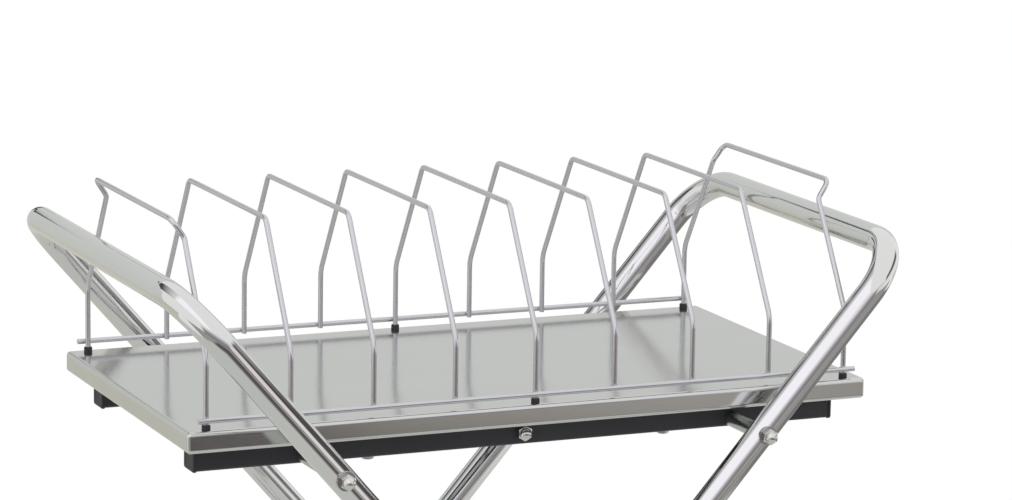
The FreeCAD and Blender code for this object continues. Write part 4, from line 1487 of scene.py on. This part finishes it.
@dataclass
class Casters:
    """Four swivel casters: moulded wheels in bent forks, two of them with a brake pedal.

    All sizes are in millimetres. A caster is drawn with its wheel trailing to the right.
    """

    foot_x: float = 284.88
    spread: dict[Side, float] = field(
        default_factory=lambda: {Side.LEFT: 236.0, Side.RIGHT: 264.0}
    )
    trail: float = 28.0
    axle_z: float = 37.5
    # the tyre: its shoulder's radius and chords, then lines of radius and depth on its wall,
    # and of height and depth in its tread
    tyre_radius: float = 37.5
    tyre_half: float = 11.0
    tyre_sides: int = 96
    shoulder: float = 4.0
    shoulder_steps: int = 9
    wall_line: Profile = ((30.2, 0.0), (30.8, 0.45), (32.2, 0.45), (32.8, 0.0))
    groove: Profile = ((5.6, 0.0), (5.4, 0.25), (5.0, 0.7), (4.4, 0.7), (4.0, 0.25), (3.8, 0.0))
    mould_line: Profile = ((0.5, 0.0), (0.3, 0.18))
    # the wheel centre: rim, web and boss, with broken edges and small fillets where they meet
    rim_radius: float = 28.5
    rim_half: float = 10.0
    rim_wall: float = 4.0
    rim_gap: float = 0.02
    rim_edge: float = 0.5
    web_half: float = 4.0
    boss_radius: float = 11.0
    boss_half: float = 12.5
    boss_edge: float = 0.8
    fillet_in: float = 0.3
    fillet_up: float = 1.2
    fillet_out: float = 1.5
    axle_hole: float = 4.08
    hub_sides: int = 72
    # its ribs: half their thickness at root and crest, and their crest's height at both ends
    rib_count: int = 8
    rib_root: float = 1.2
    rib_crest: float = 0.9
    rib_near: float = 9.2
    rib_far: float = 8.2
    rib_web_sink: float = 0.5
    rib_end_sink: float = 0.6
    # the riveted axle: its shank, then its head from the fork's face to the dish
    axle_radius: float = 4.0
    axle_head: Profile = (
        (6.5, 16.5), (6.5, 18.9), (5.9, 19.9), (4.9, 20.5), (3.0, 20.5), (2.4, 20.0), (POLE_MM, 20.0),
    )
    axle_sides: int = 40
    fork_round: float = 0.5
    pin_round: float = 0.2
    pedal_round: float = 0.6
    pin_x: float = 25.0
    pin_z: float = 81.0
    pedal_lift: float = math.radians(-12)
    # the grip ribs on the pedal's pad
    grip_count: int = 6
    grip_start: float = 15.0
    grip_pitch: float = 4.6
    grip_up: float = 2.0
    grip_half: float = 0.9
    grip_reach: float = 12.0
    grip_corner: float = 0.8
    grip_corner_steps: int = 4
    grip_rise: float = 0.8
    grip_sink: float = 0.2

    def build(self, shop: Workshop) -> None:
        """Make the four casters and the fixed parts on their stems.

        Args:
            shop: the finishes and trees to build with.
        """
        for corner in Corner:
            self.wheel(shop, corner)
            self.fork(shop, corner)
            if corner.braked():
                self.pedal(shop, corner)
        for name, node, rim_round in (
            ("stem_raceways", "caster_stems", 0.25),
            ("stem_blocks", "caster_boots", 0.4),
            ("stem_washers", "caster_top_washers", 0.3),
            ("stem_nut_set", "caster_stem_nuts", 0.5),
        ):
            hand_in(softened(name, node, rim_round), FRAME_BODY, "zinc_steel", node)

    def place(self, corner: Corner) -> Matrix:
        """Give the matrix from a caster drawn round the origin to its own place.

        Args:
            corner: which caster.

        Returns:
            The matrix, which turns the left casters to trail outwards.
        """
        side, end, _ = corner.value
        turn = Matrix.Rotation(math.pi if side is Side.LEFT else 0.0, 4, "Z")
        spot = (side.value * self.foot_x * MM, end * self.spread[side] * MM, 0)
        return Matrix.Translation(spot) @ turn

    def axle(self, corner: Corner) -> Matrix:
        """Give the place of a wheel's middle, with +Z along its axle."""
        hub = Matrix.Translation((self.trail * MM, 0, self.axle_z * MM))
        return self.place(corner) @ hub @ Facing.REAR.turn()

    def wheel(self, shop: Workshop, corner: Corner) -> None:
        """Turn the tyre and the wheel centre, and set the ribs in it.

        Args:
            shop: the finishes and trees to build with.
            corner: which caster.
        """
        prefix, axle = corner.prefix(), self.axle(corner)
        body = prefix + "wheel"
        tyre, hub = Shell(), Shell()
        tyre.turned(self.tyre_profile(), axle, self.tyre_sides, ring=True)
        hub.turned(self.hub_profile(), axle, self.hub_sides, ring=True)
        rubber = tyre.piece(prefix + "tread", shop.finish(GREY_RUBBER))
        hand_in(rubber, body, "tyre_rubber", prefix + "tyre")
        centre = hub.piece(prefix + "wheel_centre", shop.finish(HUB_PLASTIC))
        hand_in(centre, body, "hub_plastic", prefix + "hub")
        turns = [2 * math.pi * step / self.rib_count for step in range(self.rib_count)]
        spots = [(axle.translation, (0.0, turn, 0.0)) for turn in turns]
        ribs = shop.copied(prefix + "wheel_ribs", self.rib(), spots, HUB_PLASTIC)
        hand_in(ribs, body, "hub_plastic")

    def tyre_profile(self) -> Profile:
        """Give the tyre's section: round shoulders, two grooves and a moulding line.

        Returns:
            The radius and height of each point, round the whole section.
        """
        top, half, edge = self.tyre_radius, self.tyre_half, self.shoulder
        wall = [(self.rim_radius, half)] + [(radius, half - depth) for radius, depth in self.wall_line]
        shoulder = []
        for step in range(self.shoulder_steps + 1):
            angle = math.radians(90 * step / self.shoulder_steps)
            shoulder.append((top - edge + edge * math.sin(angle), half - edge + edge * math.cos(angle)))
        tread = [(top - depth, height) for height, depth in self.groove + self.mould_line]
        upper = wall + shoulder + tread
        return upper + [(radius, -height) for radius, height in reversed(upper)]

    def hub_profile(self) -> Profile:
        """Give the wheel centre's section: rim, web and boss, with broken edges.

        Returns:
            The radius and height of each point, round the whole section.
        """
        rim_in, rim_out = self.rim_radius - self.rim_wall, self.rim_radius - self.rim_gap
        rim, web, boss, hub = self.rim_half, self.web_half, self.boss_half, self.boss_radius
        upper = [
            (self.axle_hole, boss),
            (hub - self.boss_edge, boss),
            (hub, boss - self.boss_edge),
            (hub + self.fillet_in, web + self.fillet_up),
            (hub + self.fillet_out, web),
            (rim_in - self.fillet_out, web),
            (rim_in - self.fillet_in, web + self.fillet_up),
            (rim_in, rim - self.rim_edge),
            (rim_in + self.rim_edge, rim),
            (rim_out - self.rim_edge, rim),
            (rim_out, rim - self.rim_edge),
        ]
        return upper + [(radius, -height) for radius, height in reversed(upper)]

    def rib(self) -> Shell:
        """Draw one rib from the boss to the rim, on both sides of the web, along +Z.

        Returns:
            The rib, with the wheel's middle at the origin.
        """
        shell = Shell()
        inner = self.boss_radius - self.rib_end_sink
        outer = self.rim_radius - self.rim_wall + self.rib_end_sink
        root, crest = self.rib_root, self.rib_crest
        for side in (-1, 1):
            web = side * (self.web_half - self.rib_web_sink)
            ends = []
            for z, reach in ((inner, self.rib_near), (outer, self.rib_far)):
                top = side * reach
                corners = [(-root, web), (root, web), (crest, top), (-crest, top)]
                ends.append([Vector((x, y, z)) * MM for x, y in corners])
            shell.stack(ends)
        return shell

    def fork(self, shop: Workshop, corner: Corner) -> None:
        """Break the rims of the fork, and make the axle with riveted, dished heads.

        Args:
            shop: the finishes and trees to build with.
            corner: which caster.
        """
        prefix = corner.prefix()
        body = prefix + "fork"
        fork = softened(prefix + "bent_fork", prefix + "fork", self.fork_round)
        hand_in(fork, body, "zinc_steel", prefix + "fork")
        upper = [(self.axle_radius, self.axle_head[0][1]), *self.axle_head]
        profile = [(radius, -height) for radius, height in reversed(upper)] + upper
        axle = Shell()
        axle.turned(profile, self.axle(corner), self.axle_sides)
        made = axle.piece(prefix + "riveted_axle", shop.finish(ZINC_PLATE))
        hand_in(made, body, "zinc_steel", prefix + "axle")
        if corner.braked():
            pin = softened(prefix + "pedal_pin", prefix + "brake_pin", self.pin_round)
            hand_in(pin, body, "zinc_steel", prefix + "brake_pin")

    def pedal(self, shop: Workshop, corner: Corner) -> None:
        """Break the pedal's rims and set grip ribs across its pad.

        Args:
            shop: the finishes and trees to build with.
            corner: which caster.
        """
        prefix = corner.prefix()
        body = prefix + "pedal"
        pedal = softened(prefix + "foot_pedal", prefix + "brake_pedal", self.pedal_round)
        hand_in(pedal, body, "pedal_plastic", prefix + "brake_pedal")
        half, reach, sink = self.grip_half * MM, self.grip_reach * MM, self.grip_sink * MM
        corners = [(-half, -reach), (half, -reach), (half, reach), (-half, reach)]
        outline = rounded_outline(corners, [self.grip_corner * MM] * 4, self.grip_corner_steps)
        rib = Shell()
        rib.slab(outline, self.grip_rise * MM, Matrix.Translation((0, 0, -sink)), sink)
        pin = Matrix.Translation((self.pin_x * MM, 0, self.pin_z * MM))
        pad = self.place(corner) @ (pin @ Matrix.Rotation(self.pedal_lift, 4, "Y"))
        spots = []
        for step in range(self.grip_count):
            along = (self.grip_start + self.grip_pitch * step) * MM
            spot = pad @ Matrix.Translation((along, 0, self.grip_up * MM))
            spots.append((spot.translation, tuple(spot.to_euler())))
        ribs = shop.copied(prefix + "pedal_ribs", rib, spots, BLACK_ABS)
        hand_in(ribs, body, "pedal_plastic")


# ------------------------------------------------------------------ studio


class Axis(Enum):
    """One of the scene's axes, by its number."""

    X = 0
    Y = 1
    Z = 2


@dataclass(frozen=True)
class Card:
    """A flat card that only reflections see: one colour or a blend of two, with soft borders.

    Its two corners share one coordinate, so it lies in a plane square to that axis.
    """

    name: str
    low: Triple
    high: Triple
    colour: str
    far_colour: str = ""
    blend: Axis = Axis.X
    fade: float = 0.0
    strength: float = 1.0

    def spans(self) -> list[Axis]:
        """Give the two axes along which the card reaches."""
        return [axis for axis in Axis if self.high[axis.value] > self.low[axis.value]]

    def hang(self) -> None:
        """Make the card and hide it from everything but mirrors."""
        first, second = (axis.value for axis in self.spans())
        corners = []
        for on_first, on_second in ((0, 0), (1, 0), (1, 1), (0, 1)):
            corner = list(self.low)
            corner[first] = (self.low, self.high)[on_first][first]
            corner[second] = (self.low, self.high)[on_second][second]
            corners.append(Vector(corner))
        made = from_rows(self.name, corners, [], [[0, 1, 2, 3]])
        made.data.materials.append(self.paper())
        for switch in ("camera", "diffuse", "shadow", "transmission", "volume_scatter"):
            setattr(made, f"visible_{switch}", False)

    def paper(self) -> bpy.types.Material:
        """Build the card's glow, which fades out towards the borders.

        Returns:
            The card's material.
        """
        material = bpy.data.materials.new(f"{self.name}_paper")
        material.use_nodes = True
        tree = material.node_tree
        tree.nodes.clear()
        where = add(tree, "ShaderNodeTexCoord").outputs["Object"]
        along = add(tree, "ShaderNodeSeparateXYZ", {0: where})
        near = linear(self.colour)
        glow = add(tree, "ShaderNodeEmission", {"Color": near, "Strength": self.strength})
        if self.far_colour:
            low, high = self.low[self.blend.value], self.high[self.blend.value]
            feeds = {"Value": along.outputs[self.blend.name], "From Min": low, "From Max": high}
            share = add(tree, "ShaderNodeMapRange", feeds).outputs[0]
            feeds = {0: share, MIX_FROM: near, MIX_TO: linear(self.far_colour)}
            tone = add(tree, "ShaderNodeMix", feeds, data_type="RGBA")
            tree.links.new(tone.outputs[MIX_RESULT], glow.inputs["Color"])
        surface = glow.outputs[0]
        if self.fade:
            clear = add(tree, "ShaderNodeBsdfTransparent").outputs[0]
            feeds = {0: self.mask(tree, along), 1: clear, 2: surface}
            surface = add(tree, "ShaderNodeMixShader", feeds).outputs[0]
        add(tree, "ShaderNodeOutputMaterial", {"Surface": surface})
        return material

    def mask(self, tree: bpy.types.NodeTree, along: bpy.types.Node) -> bpy.types.NodeSocket:
        """Give 1 in the middle of the card and 0 on its borders, with a soft rise between.

        Args:
            tree: the card's tree.
            along: the node that gives X, Y and Z on the card.

        Returns:
            The product of the rises from all four borders.
        """
        mask: bpy.types.NodeSocket | float = 1.0
        for axis in self.spans():
            for edge, inward in ((self.low, self.fade), (self.high, -self.fade)):
                border = edge[axis.value]
                feeds = {
                    "Value": along.outputs[axis.name], "From Min": border, "From Max": border + inward
                }
                rise = add(tree, "ShaderNodeMapRange", feeds, interpolation_type="SMOOTHSTEP")
                feeds = {0: mask, 1: rise.outputs[0]}
                mask = add(tree, "ShaderNodeMath", feeds, operation="MULTIPLY").outputs[0]
        return mask


# What stands round the rack and shows only in its mirrors: a pale wall and floor behind, a
# grey floor in front with a dark patch, a dim room behind the camera with a bright window at
# the right, a white softbox at the left, a ceiling that darkens to the rear, and dark flags at
# the right and high at the rear.
CARDS = (
    Card("card_behind", (-5, 3.6, 0.0), (5, 3.6, 3.2), "#d9dad7", "#e2e4e2", Axis.Z),
    Card("card_rear_floor", (-5, 0.6, 0.002), (5, 3.6, 0.002), "#d4d3c9"),
    Card("card_near_floor", (-1.6, -1.6, 0.004), (1.0, 0.9, 0.004), "#d4d5d2", fade=0.35),
    Card("card_front_floor", (-5, -5.2, 0.002), (5, -0.6, 0.002), "#a9a6a2"),
    Card("card_floor_shade", (-1.6, -4.2, 0.006), (1.5, -1.4, 0.006), "#645e5f", fade=0.55),
    Card(
        "card_far_floor", (0.85, -5.2, 0.008), (1.95, -2.75, 0.008),
        "#b9b5ac", "#c2bbb7", Axis.X, fade=0.12,
    ),
    Card("card_right_floor", (0.95, -0.75, 0.010), (2.4, 1.2, 0.010), "#8a888a", fade=0.2),
    Card("card_horizon", (-5, -5.2, 0.0), (5, -5.2, 1.2), "#8a878d", "#a5a1a9", Axis.Z),
    Card("card_front_wall", (-5, -5.2, 1.2), (5, -5.2, 2.4), "#a5a1a9", "#fbf8fc", Axis.Z),
    Card("card_window", (2.3, -5.1, 0.0), (5.9, -5.1, 2.0), "#f8f2f2", fade=0.6),
    Card("card_right_flag", (4.0, -3.9, 1.1), (4.0, 1.05, 2.8), "#585153", fade=0.75),
    Card("card_rear_flag_low", (-0.2, 3.5, 0.9), (0.65, 3.5, 1.6), "#39383c", fade=0.08),
    Card("card_rear_flag_mid", (-0.95, 3.5, 1.55), (-0.05, 3.5, 1.98), "#39383c", fade=0.08),
    Card("card_rear_flag_high", (-2.3, 3.5, 2.75), (-1.1, 3.5, 3.4), "#4a494d", fade=0.3),
    Card("card_rear_flag_upper", (-1.3, 3.5, 2.42), (-0.55, 3.5, 2.78), "#4a494d", fade=0.12),
    Card("card_rear_ceiling", (-3.2, 0.2, 3.2), (-0.9, 2.7, 3.2), "#f2f1f4", "#505054", Axis.Y),
    Card("card_rear_ceiling_end", (-3.2, 2.7, 3.2), (-0.9, 3.6, 3.2), "#505054"),
    Card("card_softbox", (-3.2, -6.5, 3.2), (-0.8, 0.2, 3.2), "#fbf7ff", fade=0.4, strength=1.3),
)


@dataclass(frozen=True)
class Lamp:
    """A square soft lamp that shines on the rack and shows in no mirror."""

    name: str
    spot: Triple
    size: float
    watts: float
    aim: Triple = (0.0, 0.0, 0.6)

    def hang(self) -> None:
        """Make the lamp and turn it to the rack."""
        light = bpy.data.lights.new(self.name, "AREA")
        light.shape = "SQUARE"
        light.size = self.size
        light.energy = self.watts
        made = bpy.data.objects.new(self.name, light)
        made.location = self.spot
        made.rotation_mode = "QUATERNION"
        made.rotation_quaternion = (Vector(self.spot) - Vector(self.aim)).to_track_quat("Z", "Y")
        made.visible_glossy = False
        bpy.context.scene.collection.objects.link(made)


# A large key high at the front left and a weaker fill at the right.
LAMPS = (
    Lamp("key", (-1.6, -2.6, 2.8), size=2.2, watts=58.0),
    Lamp("fill", (2.4, -1.8, 2.2), size=2.0, watts=18.0),
)


@dataclass
class Studio:
    """A white floor, a white surround, soft lamps, grey cards and the camera."""

    white: str = "#ffffff"
    fill: str = "#f4f6fa"
    fill_strength: float = 0.8
    paper: str = "#f6f6f5"
    floor_radius: float = 40.0
    floor_sides: int = 96
    near: float = 0.9
    far: float = 2.4
    azimuth: float = math.radians(-23.58)
    elevation: float = math.radians(10.81)
    roll: float = math.radians(0.93)
    distance: float = 3.79424
    target: Triple = (0.04379, 0.0, 0.83091)
    lens_mm: float = 140.69
    sensor_mm: float = 36.0
    clip_end: float = 100.0

    def build(self) -> None:
        """Make the surround, the floor, the cards, the lamps and the camera."""
        self.surround()
        self.floor()
        for thing in CARDS + LAMPS:
            thing.hang()
        self.camera()

    def seen(self, tree: bpy.types.NodeTree) -> bpy.types.NodeSocket:
        """Give 1 for camera, mirror and glass rays, and 0 for the light that falls on things.

        Args:
            tree: the tree of the world or of a material.

        Returns:
            The switch.
        """
        rays = add(tree, "ShaderNodeLightPath").outputs
        feeds = {0: rays["Is Camera Ray"], 1: rays["Is Glossy Ray"]}
        mirror = add(tree, "ShaderNodeMath", feeds, operation="MAXIMUM").outputs[0]
        feeds = {0: mirror, 1: rays["Is Transmission Ray"]}
        return add(tree, "ShaderNodeMath", feeds, operation="MAXIMUM").outputs[0]

    def surround(self) -> None:
        """Make the world: white where it is seen, a plain level where it lights."""
        world = bpy.data.worlds.new("white_studio")
        bpy.context.scene.world = world
        world.use_nodes = True
        tree = world.node_tree
        tree.nodes.clear()
        white = add(tree, "ShaderNodeBackground", {"Color": linear(self.white), "Strength": 1.0})
        feeds = {"Color": linear(self.fill), "Strength": self.fill_strength}
        fill = add(tree, "ShaderNodeBackground", feeds)
        feeds = {0: self.seen(tree), 1: fill.outputs[0], 2: white.outputs[0]}
        both = add(tree, "ShaderNodeMixShader", feeds)
        add(tree, "ShaderNodeOutputWorld", {"Surface": both.outputs[0]})

    def floor(self) -> None:
        """Make the floor: matt and shadowed near the rack, plain white further out."""
        angles = [2 * math.pi * step / self.floor_sides for step in range(self.floor_sides)]
        ring = [
            Vector((math.cos(a) * self.floor_radius, math.sin(a) * self.floor_radius, 0.0))
            for a in angles
        ]
        ground = from_rows("floor", ring, [], [list(range(self.floor_sides))])
        material = bpy.data.materials.new("white_paper_floor")
        material.use_nodes = True
        tree = material.node_tree
        tree.nodes.clear()
        place = add(tree, "ShaderNodeTexCoord").outputs["Object"]
        reach = add(tree, "ShaderNodeVectorMath", {0: place}, operation="LENGTH")
        feeds = {"Value": reach.outputs["Value"], "From Min": self.near, "From Max": self.far}
        away = add(tree, "ShaderNodeMapRange", feeds, interpolation_type="SMOOTHSTEP")
        feeds = {0: away.outputs[0], 1: self.seen(tree)}
        share = add(tree, "ShaderNodeMath", feeds, operation="MULTIPLY")
        paper = add(tree, "ShaderNodeBsdfDiffuse", {"Color": linear(self.paper)})
        white = add(tree, "ShaderNodeEmission", {"Color": linear(self.white), "Strength": 1.0})
        feeds = {0: share.outputs[0], 1: paper.outputs[0], 2: white.outputs[0]}
        both = add(tree, "ShaderNodeMixShader", feeds)
        add(tree, "ShaderNodeOutputMaterial", {"Surface": both.outputs[0]})
        ground.data.materials.append(material)

    def camera(self) -> None:
        """Set the camera at its angle, its distance and its roll."""
        data = bpy.data.cameras.new("camera")
        data.lens = self.lens_mm
        data.sensor_width = self.sensor_mm
        data.clip_end = self.clip_end
        made = bpy.data.objects.new("camera", data)
        bpy.context.scene.collection.objects.link(made)
        flat = math.cos(self.elevation)
        east, south = math.sin(self.azimuth) * flat, -math.cos(self.azimuth) * flat
        back = Vector((east, south, math.sin(self.elevation)))
        made.location = Vector(self.target) + back * self.distance
        aim = (-back).to_track_quat("-Z", "Y").to_matrix() @ Matrix.Rotation(self.roll, 3, "Z")
        made.rotation_mode = "QUATERNION"
        made.rotation_quaternion = aim.to_quaternion()
        bpy.context.scene.camera = made


# ------------------------------------------------------------------ main


def main() -> None:
    """Build and dress every sub-assembly in order, then the studio."""
    logging.basicConfig(level=logging.INFO, format="%(name)s: %(message)s")
    wardrobe = Wardrobe()
    wardrobe.dress_nodes()
    shop = Workshop(wardrobe, sweep_tree(), copies_tree())
    for assembly in (DeckAndBars(), WireRack(), TubeFrames(), Fasteners(), Casters()):
        assembly.build(shop)
    Studio().build()
    bpy.context.scene.view_settings.view_transform = "Standard"


if __name__ == "__main__":
    main()
